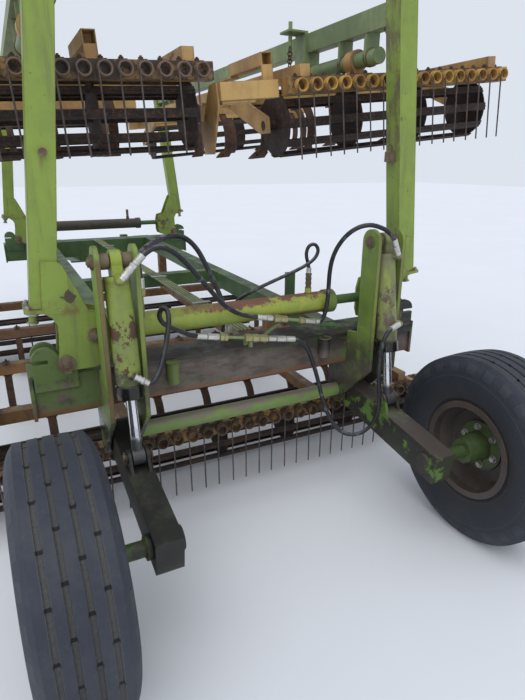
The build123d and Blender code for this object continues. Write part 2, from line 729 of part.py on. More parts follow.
def build_frame(half_width, rails_at, high_rail_x, end_beam, shift, drop):
    """Cross tubes, rails and roller arms; a wing's frame has its links and high rail too."""
    low = tube_half + seat_gap
    with BuildPart() as frame:
        for tube_y in tube_stations:
            block(-half_width, half_width, tube_y, tube_y + tube_size, -tube_half, tube_half)
        for rail in rails_at:
            block(rail - rail_size / 2, rail + rail_size / 2, harrow_y - 20, rail_ahead_y, low,
                  low + rail_size)
        add_arms(half_width)
        if drop:
            add_high_rail(high_rail_x, end_beam)
            if end_beam:
                add_end_beam()
            flat_y = link_y["rear"] - link_flat_width / 2
            block(-half_width + 60, half_width - 60, flat_y, flat_y + link_flat_width,
                  tube_half - link_flat, tube_half)
            for link_at in link_y.values():
                y0 = link_at - link_half
                y1 = link_at + link_half
                block(-shift - link_half, -shift + link_half, y0, y1, low, drop)
                disc_y(-shift, drop, y0, y1, link_ring_diameter / 2)
                disc_y(-shift, drop, y0 - 5, y1 + 5, pivot_tube_diameter / 2 + running_fit, Mode.SUBTRACT)
        else:
            for strut_y in (tube_stations[0], tube_stations[3]):
                for rail in rails_at[1:3]:
                    block(rail - strut_half, rail + strut_half, strut_y, strut_y + 2 * strut_half,
                          low + rail_size + seat_gap, beam_top_z - rail_height - centre_bar_z)
    return frame.part


def build_harrow(half_width, coil_count):
    """Harrow bar with its row of coil tines."""
    coil_y = harrow_y - tube_half
    tine_y = coil_y - coil_length
    first = -(coil_count - 1) * coil_pitch / 2
    stations = [first + index * coil_pitch for index in range(coil_count)]
    with BuildPart() as harrow:
        block(-half_width, half_width, coil_y, harrow_y + tube_half, -tube_half, tube_half)
        with BuildSketch(Plane(origin=(0, coil_y, 0), x_dir=(1, 0, 0), z_dir=(0, -1, 0))) as rings:
            with Locations(*[(x, 0) for x in stations]):
                Circle(coil_diameter / 2)
            with Locations(*[(x, 0) for x in stations]):
                Circle(coil_bore / 2, mode=Mode.SUBTRACT)
        extrude(rings.sketch, amount=coil_length)
        aside = -coil_diameter / 2 + tine_wire / 2
        with Locations(*[(x + aside, tine_y + tine_wire / 2, -tine_reach / 2) for x in stations]):
            Box(tine_wire, tine_wire, tine_reach)
    return harrow.part


def build_roller(half_width, roller_y):
    """Cage roller: shaft, discs and slats."""
    reach = half_width - roller_margin
    slat_radius = roller_diameter / 2 - 12
    disc_count = max(3, round(2 * reach / 480) + 1)
    shaft_end = half_width + arm_plate - 2
    with BuildPart() as roller:
        disc_x(roller_y, roller_z, -shaft_end, shaft_end, roller_shaft_diameter / 2)
        for index in range(disc_count):
            x = -reach + index * (2 * reach - 8) / (disc_count - 1)
            disc_x(roller_y, roller_z, x, x + 8, roller_diameter / 2 - 10)
        with BuildSketch(Plane(origin=(-reach, roller_y, roller_z), x_dir=(0, 1, 0),
                               z_dir=(1, 0, 0))) as slats:
            with PolarLocations(slat_radius, roller_bar_count):
                Rectangle(24, 10)
        extrude(slats.sketch, amount=2 * reach)
    return roller.part


def build_tines(half_width, pitch):
    """Curved spring tines with shares, in staggered rows under the cross tubes."""
    top = -tube_half - seat_gap
    with BuildPart() as tine:
        with BuildSketch(Plane.YZ.offset(-25)) as leaf:
            with BuildLine():
                ThreePointArc((-26, top), (-112, -185), (-26, -330))
                Line((-26, -330), (6, -330))
                ThreePointArc((6, -330), (-98, -185), (6, top))
                Line((6, top), (-26, top))
            make_face()
        extrude(leaf.sketch, amount=50)
        block(-32, 32, -30, 30, top - 10, top)
        share = [
            (-36, -tine_reach + 30),
            (-26, -tine_reach + 42),
            (72, -tine_reach + 8),
            (78, -tine_reach),
            (20, -tine_reach),
        ]
        plate_yz(share, -45, 90)
    spots = []
    for row, tube_y in enumerate(tube_stations[:3]):
        count = int((2 * half_width - 120) / pitch)
        start = -(count - 1) * pitch / 2 + (row - 1) * pitch / 3
        spots += [(start + index * pitch, tube_y + tube_half, 0) for index in range(count)]
    with BuildPart() as tines:
        with Locations(*spots):
            add(tine.part)
    return tines.part


# Sections: name, side, pivot to middle, pivot down to bar, tilt, half width, coils, rails, high rail,
# end beam
section_table = (
    ("left", -1, -15, 171, -3.3, section_half, coil_count_wing, (-640, 640), 240, False),
    ("centre", 0, 0, 0, 0, centre_half, 33, (-1250, -rail_x, rail_x, 1250), None, False),
    ("right", 1, 230, 114, -6, section_half, coil_count_wing, (-640, 640), -790, True),
)
for name, sign, shift, drop, tilt, half_width, coil_count, rails_at, high_rail_x, end_beam in section_table:
    if sign:
        place = Location((sign * pivot_x, 0, height(pivot_height))) * Rotation(0, tilt, 0)
        place = place * Location((shift, 0, -drop))
    else:
        place = Location((0, 0, centre_bar_z))
    section_frame = build_frame(half_width, rails_at, high_rail_x, end_beam, shift, drop)
    save(section_frame.moved(place), f"section_frame_{name}")
    save(build_harrow(half_width, coil_count).moved(place), f"harrow_{name}")
    save(build_tines(half_width, tine_pitch).moved(place), f"tines_{name}")
    for roller_name, roller_y in zip(roller_names, (roller_rear_y, roller_front_y)):
        save(build_roller(half_width, roller_y).moved(place), f"{roller_name}_{name}")

# Hydraulic lines with their nuts and tees, and the steel pipes along the frame
# Steps: start, end (x, ahead of the axle, height), radius
line_steps = (
    ((60, 600, 1117.8), (100, 600, 1110), 14),
    ((100, 600, 1110), (135, 600, 1103.2), 18),
    ((135, 600, 1103.2), (178, 600, 1094.8), 16),
    ((178, 600, 1094.8), (246, 600, 1081.5), 9),
    ((246, 600, 1081.5), (276, 600, 1075.7), 16),
    ((276, 600, 1075.7), (345, 600, 1062.2), 12),
    ((156, 600, 1099), (76, 650, 1012), 9),
    ((76, 650, 1014), (76, 650, 970.3), 9),
    ((-253, 600, 1063.8), (-190, 598.5, 1053.6), 14),
    ((-190, 598.5, 1053.6), (-150, 597.5, 1047), 18),
    ((-150, 597.5, 1047), (-62, 595.5, 1032.7), 8),
    ((-62, 595.5, 1032.7), (14, 593.7, 1020.3), 19),
    ((14, 593.7, 1020.3), (66, 592.4, 1011.8), 17),
    ((66, 592.4, 1011.8), (112, 591.3, 1004.3), 13),
    ((112, 591.3, 1004.3), (168, 590, 995.2), 14),
    ((-28, 594.7, 1027), (-28, 594.7, 982), 11),
    ((-60, 800, 970.3), (-60, 800, 999.8), 18),
    ((-105, 770, 970.3), (-105, 770, 984.8), 14),
    ((-566, 520, 1344.8), (-566, 520, 1312), 15),
    ((-566, 520, 1312), (-566, 520, 1220), 9),
)
pipe_radius = 7
pipe_pitch = 22
with BuildPart() as lines:
    for start, end_spot, radius in line_steps:
        bar(site(start), site(end_spot), radius)
    block(-38, -18, axle_y + 594.7, axle_y + 664, height(1012), height(1024))
    block(-38, -18, axle_y + 648, axle_y + 664, height(970.3), height(1024))
    for index in range(4):
        aside = (index - 1.5) * pipe_pitch
        bar(site((62 + aside, 860, 970.3 + pipe_radius)), site((-48 + aside, 4800, 970.3 + pipe_radius)),
            pipe_radius)
save(lines.part, "hydraulic_lines")

# Hoses: name, diameter, path points (x, ahead of the axle, height)
hose_table = (
    ("hose_left_head", 22, (
        (-611, 388, 1471), (-568, 385, 1515), (-512, 408, 1530), (-450, 436, 1506), (-392, 464, 1456),
        (-338, 490, 1396), (-284, 511, 1336), (-230, 538, 1272), (-172, 562, 1212), (-104, 586, 1164),
        (-27, 600, 1135), (59, 600, 1118),
    )),
    ("hose_right_head", 22, (
        (346, 600, 1062), (374, 600, 1057), (396, 599, 1078), (406, 596, 1118), (410, 590, 1185),
        (405, 580, 1255), (397, 566, 1325), (394, 545, 1395), (402, 512, 1462), (424, 472, 1520),
        (460, 436, 1556), (507, 412, 1567), (556, 403, 1556), (604, 400, 1536), (649, 403, 1502),
        (670.2, 407.8, 1459.6),
    )),
    ("hose_left_gland", 22, (
        (-620.8, 349.8, 999.2), (-597, 345, 983), (-564, 352, 1004), (-530, 380, 1064), (-499, 415, 1132),
        (-476, 445, 1200), (-470, 466, 1249), (-485, 494, 1261), (-499, 514, 1228), (-488, 532, 1190),
        (-458, 552, 1158), (-398, 578, 1122), (-324, 601, 1076), (-254, 600, 1064),
    )),
    ("hose_right_gland", 22, (
        (653.6, 347.4, 1061.9), (612, 329, 1058), (576, 322, 1020), (557, 320, 950), (555, 318, 865),
        (566, 319, 775), (582, 323, 685), (586, 331, 595), (558, 350, 515), (497, 378, 468),
        (424, 418, 478), (374, 458, 552), (346, 498, 660), (331, 530, 770), (312, 556, 860),
        (288, 576, 938), (236, 588, 984), (169, 590, 995),
    )),
    ("hose_supply", 26, (
        (-60, 800, 1000), (-60, 800, 1062), (-72, 832, 1150), (-100, 870, 1245), (-136, 895, 1340),
        (-178, 905, 1430), (-242, 900, 1492), (-325, 860, 1508), (-405, 795, 1500), (-475, 715, 1488),
        (-530, 640, 1470), (-560, 572, 1447), (-566, 520, 1402), (-566, 520, 1345),
    )),
    ("hose_fold", 18, (
        (-105, 770, 985), (-105, 770, 1030), (-94, 769, 1085), (-68, 755, 1145), (-24, 726, 1200),
        (36, 694, 1238), (100, 670, 1270), (165, 656, 1297), (230, 650, 1320), (290, 650, 1342),
        (340, 650, 1366), (371, 652, 1392), (384, 656, 1426), (364, 662, 1454), (334, 668, 1447),
        (322, 674, 1414), (328, 678, 1378), (340, 672.5, 1342), (340, 672.5, 1305),
    )),
)
for label, diameter, points in hose_table:
    spots = [Vector(*site(point)) for point in points]
    runs = [after - before for before, after in zip(spots, spots[1:])]
    radii = []
    for before, after in zip(runs, runs[1:]):
        turn = radians(before.get_angle(after))
        radii.append(0.45 * min(before.length, after.length) / tan(turn / 2))
    with BuildPart() as hose:
        with BuildLine() as path:
            FilletPolyline(*spots, radius=radii)
        with BuildSketch(Plane(origin=path.line @ 0, z_dir=path.line % 0)) as section:
            Circle(diameter / 2)
        sweep(section.sketch, path=path.line)
    length = sum(edge.length for edge in path.line.edges())
    print(label, "length", round(length), "radii", [round(radius) for radius in radii],
          "volume share", round(hose.part.volume / (pi * diameter ** 2 / 4 * length), 3))
    save(hose.part, label)

# Short chain from the eye bolt of the right wing's rear bracket
link_major = 14
link_wire = 3.5
link_pitch = 20.7
chain_y = pivot_spans["rear"] + bracket_offset["rear"] + 60
chain_top = height(wing_beam_height) - 20 - seat_gap
with BuildPart() as chain:
    for index in range(8):
        facing = (1, 0, 0) if index % 2 == 0 else (0, 1, 0)
        centre = (pivot_x - 132, chain_y, chain_top - link_major - link_wire - index * link_pitch)
        with Locations(Plane(origin=centre, z_dir=facing)):
            Torus(link_major, link_wire)
save(chain.part, "bracket_chain")

# Parking jack on the drawbar
jack_top_z = 420
foot_z = height(0)
with BuildPart() as jack_tube:
    block(jack_x - jack_tube_side / 2, jack_x + jack_tube_side / 2, jack_y - jack_tube_side / 2,
          jack_y + jack_tube_side / 2, -80, jack_top_z)
    inner = jack_leg_side / 2 + seat_gap
    block(jack_x - inner, jack_x + inner, jack_y - inner, jack_y + inner, -90, jack_top_z - 20,
          Mode.SUBTRACT)
save(jack_tube.part, "jack_tube")
with BuildPart() as jack_leg:
    half = jack_leg_side / 2
    block(jack_x - half, jack_x + half, jack_y - half, jack_y + half, foot_z + 20, 60)
    bar((jack_x, jack_y, foot_z), (jack_x, jack_y, foot_z + 20), jack_foot_diameter / 2)
save(jack_leg.part, "jack_leg")
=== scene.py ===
import math
import random

import bmesh
import bpy
from mathutils import Matrix, Vector


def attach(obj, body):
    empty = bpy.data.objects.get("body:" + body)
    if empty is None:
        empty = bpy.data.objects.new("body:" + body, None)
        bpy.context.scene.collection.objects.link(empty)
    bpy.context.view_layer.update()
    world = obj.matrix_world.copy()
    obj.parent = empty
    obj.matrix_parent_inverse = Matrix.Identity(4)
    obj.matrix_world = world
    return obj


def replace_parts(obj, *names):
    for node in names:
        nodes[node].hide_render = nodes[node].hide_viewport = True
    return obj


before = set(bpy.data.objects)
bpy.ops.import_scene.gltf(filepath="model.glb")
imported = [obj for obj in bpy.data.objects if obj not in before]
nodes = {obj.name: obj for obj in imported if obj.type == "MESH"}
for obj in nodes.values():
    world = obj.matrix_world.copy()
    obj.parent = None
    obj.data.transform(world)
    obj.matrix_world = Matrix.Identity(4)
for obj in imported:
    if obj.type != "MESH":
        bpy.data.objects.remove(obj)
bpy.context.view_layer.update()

# Driving values, in metres. The origin is the hitch eye; the wheel axle lies behind it.
AXLE_Y = -6.9
GROUND_Z = -0.48
WHEEL_X = 1.01
WHEEL_HEIGHT = 0.4825
KNEES = {"rear": 0.6725, "front": 4.8525}
SIDES = (("left", -1), ("right", 1))
ALONG_X, ALONG_Y, ALONG_Z = (1, 0, 0), (0, 1, 0), (0, 0, 1)


def site(x, ahead, above):
    """Point from its x, its distance ahead of the axle and its height above the ground."""
    return Vector((x, AXLE_Y + ahead, GROUND_Z + above))


def heights(*values):
    """Values of the frame's z from heights above the ground."""
    return [GROUND_Z + value for value in values]


def aheads(*values):
    """Values of the frame's y from distances ahead of the axle."""
    return [AXLE_Y + value for value in values]


# Camera at the photograph's viewpoint
YAW, PITCH, ROLL = (math.radians(a) for a in (26.47, 19.79, 0.35))
EYE = site(-1.056, -1.602, 1.837)
SENSOR_WIDTH = 36
FOCAL_PIXELS, PHOTO_PIXELS = 520, 525
camera_data = bpy.data.cameras.new("camera")
camera_data.sensor_fit = "HORIZONTAL"
camera_data.sensor_width = SENSOR_WIDTH
camera_data.lens = SENSOR_WIDTH * FOCAL_PIXELS / PHOTO_PIXELS
camera_data.clip_start = 0.05
camera_data.clip_end = 200
camera = bpy.data.objects.new("camera", camera_data)
bpy.context.scene.collection.objects.link(camera)
forward = Vector((math.sin(YAW) * math.cos(PITCH), math.cos(YAW) * math.cos(PITCH), -math.sin(PITCH)))
level = Vector((math.cos(YAW), -math.sin(YAW), 0))
upright = level.cross(forward)
right = math.cos(ROLL) * level + math.sin(ROLL) * upright
up = -math.sin(ROLL) * level + math.cos(ROLL) * upright
camera.matrix_world = Matrix((
    (right.x, up.x, -forward.x, EYE.x),
    (right.y, up.y, -forward.y, EYE.y),
    (right.z, up.z, -forward.z, EYE.z),
    (0, 0, 0, 1),
))
bpy.context.scene.camera = camera


# Materials
class Shader:
    """A material's node tree with short names for the nodes used here."""

    def __init__(self, name):
        self.material = bpy.data.materials.new(name)
        self.material.use_nodes = True
        self.tree = self.material.node_tree
        self.tree.nodes.clear()
        self.place = self.add("ShaderNodeTexCoord").outputs["Object"]
        self.normal = self.add("ShaderNodeNewGeometry").outputs["Normal"]

    def add(self, kind, inputs=None, **settings):
        """A new node, with a link or a constant for each of these inputs."""
        node = self.tree.nodes.new(kind)
        for key, value in settings.items():
            setattr(node, key, value)
        for socket, value in (inputs or {}).items():
            self.put(node.inputs[socket], value)
        return node

    def put(self, socket, value):
        """Links a socket, or sets a constant on it."""
        if isinstance(value, bpy.types.NodeSocket):
            self.tree.links.new(value, socket)
        elif socket.type == "RGBA":
            socket.default_value = (*value, 1)
        else:
            socket.default_value = value

    def noise(self, scale, detail=4, rough=0.6, stretch=(1, 1, 1), shift=0.0):
        mapping = self.add("ShaderNodeMapping", {"Vector": self.place, "Scale": stretch,
                                                 "Location": (shift, shift, shift)})
        return self.add("ShaderNodeTexNoise", {"Vector": mapping.outputs[0], "Scale": scale, "Detail": detail,
                                               "Roughness": rough}).outputs["Fac"]

    def rise(self, value, low, high):
        """0 at low and 1 at high, smooth between and flat beyond; low may be the larger."""
        return self.add("ShaderNodeMapRange", {"Value": value, "From Min": low, "From Max": high},
                        interpolation_type="SMOOTHSTEP").outputs["Result"]

    def band(self, value, low, high, soft):
        """1 between low and high, fading over soft on both sides."""
        fall = self.rise(value, high + soft, high - soft)
        return self.times(self.rise(value, low - soft, low + soft), fall)

    def math(self, operation, a, b=0.0):
        return self.add("ShaderNodeMath", {0: a, 1: b}, operation=operation).outputs[0]

    def times(self, value, *factors):
        for factor in factors:
            value = self.math("MULTIPLY", value, factor)
        return value

    def plus(self, a, b):
        return self.math("ADD", a, b)

    def minus(self, a, b):
        return self.math("SUBTRACT", a, b)

    def larger(self, a, b):
        return self.math("MAXIMUM", a, b)

    def magnitude(self, value):
        return self.math("ABSOLUTE", value)

    def waves(self, angle, count):
        """Sine with this many waves round the circle."""
        return self.math("SINE", self.times(angle, count))

    def mix(self, share, a, b):
        return self.add("ShaderNodeMix", {0: share, 6: a, 7: b}, data_type="RGBA").outputs[2]

    def paint(self, colour, mask, share, tone):
        """Lays a share of a tone over the colour where the mask is 1."""
        return self.mix(self.times(mask, share), colour, tone)

    def split(self, vector):
        """X, Y and Z of a vector."""
        return self.add("ShaderNodeSeparateXYZ", {0: vector}).outputs

    def rounded(self, radius):
        """Normal with rounded edges."""
        return self.add("ShaderNodeBevel", {"Radius": radius}, samples=4).outputs[0]

    def worn(self, rounded):
        """Mask of the edges, where the rounded normal leaves the true one."""
        dot = self.add("ShaderNodeVectorMath", {0: rounded, 1: self.normal}, operation="DOT_PRODUCT")
        return self.rise(dot.outputs["Value"], 0.985, 0.9)

    def bump(self, height, strength, distance, normal):
        return self.add("ShaderNodeBump", {"Strength": strength, "Distance": distance, "Height": height,
                                           "Normal": normal}).outputs[0]

    def finish(self, colour, rough, metal=0.0, normal=None):
        """Closes the tree with a surface of this colour."""
        inputs = {"Base Color": colour, "Roughness": rough, "Metallic": metal}
        if normal is not None:
            inputs["Normal"] = normal
        surface = self.add("ShaderNodeBsdfPrincipled", inputs)
        self.add("ShaderNodeOutputMaterial", {0: surface.outputs[0]})
        return self.material


RUST = (0.16, 0.055, 0.022)
RUST_BRIGHT = (0.34, 0.13, 0.04)
RUST_DARK = (0.045, 0.022, 0.014)
SPECK = (0.05, 0.03, 0.018)
DIRT = (0.105, 0.085, 0.062)
SOOT = (0.02, 0.016, 0.013)
MOSS = (0.085, 0.19, 0.022)
OIL = (0.008, 0.008, 0.007)
LIME_SHADE = (0.16, 0.235, 0.045)
LEAF = (0.05, 0.11, 0.03)
LEAF_SHADE = (0.028, 0.065, 0.022)
OCHRE_SHADE = (0.26, 0.135, 0.045)
PAINT_ROUGH = 0.5
RUBBER_ROUGH = 0.72


def weathered(name, light, dark, rust=0.3, dirt=0.3, moss=0.2, streaks=0.3, top_rust=0.0, oil=None,
              chips=0.5, dirt_colour=DIRT, seed=0.0, extra=None, crust=(RUST, RUST_BRIGHT)):
    """Old paint: faded patches, moss, dirt, streaks, rust at edges and in spots, and oil in a band of z."""
    s = Shader(name)
    place = s.split(s.place)
    facing_up = s.split(s.normal)["Z"]
    normal = s.rounded(0.006)
    worn = s.worn(normal)
    broad = s.noise(1.7, 3, 0.55, shift=seed)
    patch = s.noise(7, 6, 0.65, shift=seed + 3)
    fine = s.noise(46, 6, 0.7, shift=seed + 7)
    grain = s.noise(240, 3, 0.6, shift=seed + 9)
    runs = s.noise(9, 5, 0.6, (3.2, 3.2, 0.22), shift=seed + 5)
    colour = s.mix(s.rise(s.times(s.plus(broad, patch), 0.5), 0.38, 0.62), light, dark)
    colour = s.paint(colour, s.rise(runs, 0.5, 0.72), streaks, dirt_colour)
    soil = s.rise(s.plus(s.times(facing_up, 0.16), patch), 0.72 - 0.36 * dirt, 0.92 - 0.3 * dirt)
    soil = s.times(soil, min(1.0, 0.45 + dirt))
    colour = s.mix(soil, colour, dirt_colour)
    green = s.rise(s.noise(4.5, 6, 0.7, shift=seed + 11), 0.66 - 0.2 * moss, 0.8 - 0.2 * moss)
    colour = s.paint(colour, green, min(1.0, 0.3 + moss), MOSS)
    spots = s.rise(s.plus(s.times(patch, 0.5), s.times(fine, 0.5)), 0.68 - 0.16 * rust, 0.73 - 0.16 * rust)
    chipped = s.times(worn, chips * 1.6, s.rise(fine, 0.42, 0.6))
    corroded = s.larger(spots, chipped)
    if top_rust:
        bare = s.plus(s.times(facing_up, 0.34 * top_rust), s.noise(5.5, 7, 0.75, shift=seed + 2))
        corroded = s.larger(corroded, s.rise(bare, 0.66, 0.72))
    specks = s.rise(s.noise(85, 3, 0.7, shift=seed + 13), 0.69, 0.72)
    colour = s.paint(colour, specks, 0.8, SPECK)
    grime = s.times(worn, s.rise(runs, 0.35, 0.55))
    colour = s.paint(colour, grime, 0.7, dirt_colour)
    tint = s.mix(s.rise(patch, 0.45, 0.7), s.mix(fine, *crust), crust[0])
    colour = s.mix(corroded, colour, tint)
    roughness = s.plus(PAINT_ROUGH, s.times(s.larger(corroded, soil), 0.35))
    if oil:
        wet = s.times(s.band(place["Z"], *oil), s.rise(s.noise(8, 5, 0.7, shift=seed + 4), 0.2, 0.4))
        colour = s.mix(wet, colour, OIL)
        roughness = s.minus(roughness, s.times(wet, 0.35))
    if extra:
        colour = extra(s, colour, place)
    relief = s.plus(s.times(fine, 0.6, corroded), s.times(s.plus(grain, patch), 0.25))
    return s.finish(colour, roughness, 0.0, s.bump(relief, 0.5, 0.0016, normal))


def rusty(name, light, dark, rough=0.8, soot=0.3, seed=0.0):
    """Bare steel gone to rust, in two tones, with relief."""
    s = Shader(name)
    patch = s.noise(11, 7, 0.7, shift=seed)
    fine = s.noise(70, 5, 0.7, shift=seed + 4)
    colour = s.mix(s.rise(patch, 0.38, 0.62), light, dark)
    colour = s.paint(colour, s.rise(fine, 0.5, 0.75), 0.55, RUST_BRIGHT)
    colour = s.paint(colour, s.rise(s.noise(3, 5, 0.6, shift=seed + 8), 0.4, 0.65), soot, SOOT)
    return s.finish(colour, rough, 0.15, s.bump(s.plus(patch, fine), 0.55, 0.002, s.rounded(0.0025)))


def metal(name, tone, rough=0.35, dull=0.35, seed=0.0):
    """Bare or plated steel with stains."""
    s = Shader(name)
    stain = s.rise(s.noise(26, 6, 0.7, shift=seed), 0.42, 0.7)
    colour = s.paint(tone, stain, dull, RUST)
    roughness = s.plus(rough, s.times(stain, 0.4))
    return s.finish(colour, roughness, 0.85, s.bump(stain, 0.3, 0.0006, s.rounded(0.0015)))


def chrome_rod(name):
    """Polished rod with a film of dust, and black grease at its lower end."""
    s = Shader(name)
    film = s.rise(s.noise(14, 6, 0.7), 0.45, 0.75)
    colour = s.paint((0.72, 0.73, 0.75), film, 0.5, (0.16, 0.13, 0.1))
    ragged = s.times(s.noise(30, 5, 0.7, (1, 1, 0.4), shift=5), 0.08)
    greasy = s.rise(s.minus(s.split(s.place)["Z"], ragged), *heights(0.715, 0.69))
    colour = s.paint(colour, greasy, 0.93, OIL)
    shine = s.minus(0.95, s.times(greasy, 0.85))
    roughness = s.plus(s.plus(0.12, s.times(film, 0.3)), s.times(greasy, 0.25))
    return s.finish(colour, roughness, shine)


def wheel_place(s, place):
    """Across the tread, distance from the axle and angle round it, for both wheels."""
    across = s.minus(s.magnitude(place["X"]), WHEEL_X)
    along = s.minus(place["Y"], AXLE_Y)
    above = s.minus(place["Z"], GROUND_Z + WHEEL_HEIGHT)
    spread = s.add("ShaderNodeCombineXYZ", {0: along, 1: above}).outputs[0]
    reach = s.add("ShaderNodeVectorMath", {0: spread}, operation="LENGTH").outputs["Value"]
    return across, reach, s.math("ARCTAN2", above, along)


def tyre_rubber(name):
    """Old ribbed tyre: dusty grooves with painted shade at their steps, shoulder blocks and rings on a
    blue-grey black.
    """
    s = Shader(name)
    across, reach, angle = wheel_place(s, s.split(s.place))
    dust = s.rise(s.noise(6, 7, 0.7), 0.4, 0.72)
    scuff = s.noise(60, 5, 0.7, shift=4)
    colour = s.paint((0.025, 0.03, 0.044), dust, 0.5, (0.06, 0.062, 0.07))
    colour = s.paint(colour, s.rise(scuff, 0.55, 0.8), 0.35, (0.11, 0.11, 0.11))
    tread = s.rise(reach, 0.447, 0.452)
    deep = s.rise(reach, 0.484, 0.4765)
    groove, painted_step_shade = 0.0, 0.0
    for index, offset in enumerate((-0.078, -0.027, 0.027, 0.078)):
        near = s.rise(s.magnitude(s.minus(across, offset)), 0.0125, 0.009)
        steps = s.rise(s.waves(s.minus(angle, index * 0.11), 20), 0.955, 0.975)
        groove = s.larger(groove, s.times(near, deep))
        painted_step_shade = s.larger(painted_step_shade, s.times(near, steps, tread))
    gravel = s.mix(s.noise(150, 3, 0.7, shift=8), (0.02, 0.019, 0.019), (0.135, 0.128, 0.12))
    colour = s.paint(colour, groove, 0.85, gravel)
    # Painted shade: near-black dashes where the grooves step, standing in for the shade of the step walls
    colour = s.mix(painted_step_shade, colour, (0.005, 0.005, 0.006))
    blocks = s.times(s.band(reach, 0.408, 0.452, 0.004), s.rise(s.waves(angle, 26), -0.2, 0.2))
    rings = s.larger(s.band(reach, 0.384, 0.388, 0.001), s.band(reach, 0.268, 0.273, 0.001))
    colour = s.paint(colour, blocks, 0.16, (0.1, 0.105, 0.115))
    colour = s.paint(colour, rings, 0.35, (0.12, 0.12, 0.13))
    colour = s.paint(colour, s.rise(reach, 0.44, 0.42), 0.35, (0.012, 0.013, 0.015))
    colour = s.paint(colour, s.rise(reach, 0.37, 0.25), 0.45, (0.042, 0.038, 0.034))
    fine = s.bump(s.plus(scuff, dust), 0.35, 0.001, s.rounded(0.004))
    relief = s.plus(s.times(blocks, 0.7), s.times(rings, 0.4))
    return s.finish(colour, RUBBER_ROUGH, 0.0, s.bump(relief, 0.8, 0.004, fine))


def hose_rubber(name):
    """Hydraulic hose: black cover with pale rubbed places, a painted highlight along its upward faces, and
    grime.
    """
    s = Shader(name)
    rubbed = s.rise(s.noise(18, 5, 0.65, shift=2), 0.56, 0.72)
    grime = s.rise(s.noise(7, 4, 0.6, shift=6), 0.45, 0.7)
    # Painted highlight: pale on the upward faces, laid in the same pale colour as the rubbed places
    top_highlight = s.rise(s.split(s.normal)["Z"], 0.45, 0.85)
    top_highlight = s.times(top_highlight, s.rise(s.noise(30, 4, 0.6, shift=9), 0.4, 0.6))
    colour = s.paint((0.012, 0.013, 0.016), s.larger(rubbed, top_highlight), 0.65, (0.24, 0.25, 0.27))
    colour = s.paint(colour, grime, 0.35, (0.06, 0.05, 0.042))
    return s.finish(colour, 0.46, 0.0, s.bump(s.noise(160, 3, 0.6), 0.25, 0.0008, s.normal))


# Marks that single parts have beside the weather: each takes a colour and gives the marked one
def beam_marks(s, colour, place):
    """Mud on the rear beam: black oily top, moss lines and an orange strip along the bottom."""
    x, y, z = place
    low, high = heights(0.79, 0.97)
    wavy = s.plus(z, s.times(s.noise(5, 5, 0.7, (1, 1, 4), shift=31), 0.045))
    colour = s.paint(colour, s.rise(wavy, high - 0.03, high + 0.01), 0.8, (0.02, 0.018, 0.016))
    soot = s.times(s.rise(x, 0.0, 0.4), s.rise(wavy, high - 0.1, high - 0.02))
    colour = s.paint(colour, soot, 0.85, OIL)
    lines = s.rise(s.noise(4, 6, 0.7, (1, 1, 9), shift=33), 0.54, 0.64)
    colour = s.paint(colour, lines, 0.75, (0.085, 0.12, 0.03))
    stains = s.rise(s.noise(11, 7, 0.75, (0.6, 1, 1.6), shift=38), 0.48, 0.6)
    colour = s.paint(colour, stains, 0.6, (0.05, 0.036, 0.03))
    bush = s.times(s.band(x, -0.451, -0.389, 0.001), s.rise(y, *aheads(0.639, 0.637)))
    colour = s.paint(colour, bush, 0.8, (0.13, 0.18, 0.045))
    fresh = s.times(s.rise(s.noise(7, 6, 0.7, shift=35), 0.55, 0.58), s.rise(x, 0.3, 0.5))
    colour = s.paint(colour, fresh, 0.8, (0.07, 0.17, 0.025))
    end = s.times(s.rise(x, -0.68, -0.8), s.rise(s.noise(6, 6, 0.7, shift=37), 0.36, 0.5))
    colour = s.paint(colour, end, 0.8, (0.11, 0.17, 0.04))
    return s.paint(colour, s.rise(wavy, low + 0.05, low + 0.03), 0.75, (0.19, 0.075, 0.028))


def axle_marks(s, colour, place):
    """Green torsion tube and stub axles; the arms keep oil and mud, the left one black."""
    x, y = place["X"], place["Y"]
    side = s.magnitude(x)
    on_right = s.rise(x, -0.1, 0.1)
    facing_up = s.split(s.normal)["Z"]
    ragged = s.times(s.noise(9, 6, 0.7, shift=41), 0.05)
    patch = s.rise(s.noise(6, 6, 0.7, shift=43), 0.56, 0.6)
    colour = s.mix(s.times(patch, on_right), colour, (0.11, 0.2, 0.035))
    top = s.times(s.rise(facing_up, 0.3, 0.7), on_right)
    colour = s.paint(colour, top, 0.75, (0.085, 0.065, 0.058))
    black = s.times(s.rise(x, -0.59, -0.61), s.rise(s.noise(5, 5, 0.7, shift=46), 0.3, 0.5))
    colour = s.paint(colour, black, 0.85, OIL)
    stub = s.rise(s.minus(side, ragged), 0.705, 0.72)
    colour = s.paint(colour, stub, 0.8, s.mix(patch, (0.055, 0.105, 0.022), (0.04, 0.042, 0.026)))
    bright = s.mix(s.noise(20, 5, 0.7, shift=44), (0.22, 0.33, 0.07), (0.12, 0.18, 0.06))
    caked = s.rise(s.plus(s.times(facing_up, 0.22), s.noise(5, 6, 0.7, shift=47)), 0.55, 0.7)
    bright = s.paint(bright, caked, 0.85, (0.2, 0.165, 0.13))
    tube = s.times(s.rise(s.plus(side, ragged), 0.635, 0.615), s.rise(y, *aheads(0.45, 0.5)))
    return s.mix(tube, colour, bright)


def rim_marks(s, colour, place):
    """Mossy hub in a brown well."""
    reach = wheel_place(s, place)[1]
    hub = s.rise(s.plus(reach, s.times(s.noise(12, 6, 0.7, shift=51), 0.05)), 0.165, 0.135)
    return s.paint(colour, hub, 0.8, s.mix(s.noise(25, 4, 0.7), (0.015, 0.028, 0.01), (0.1, 0.17, 0.035)))


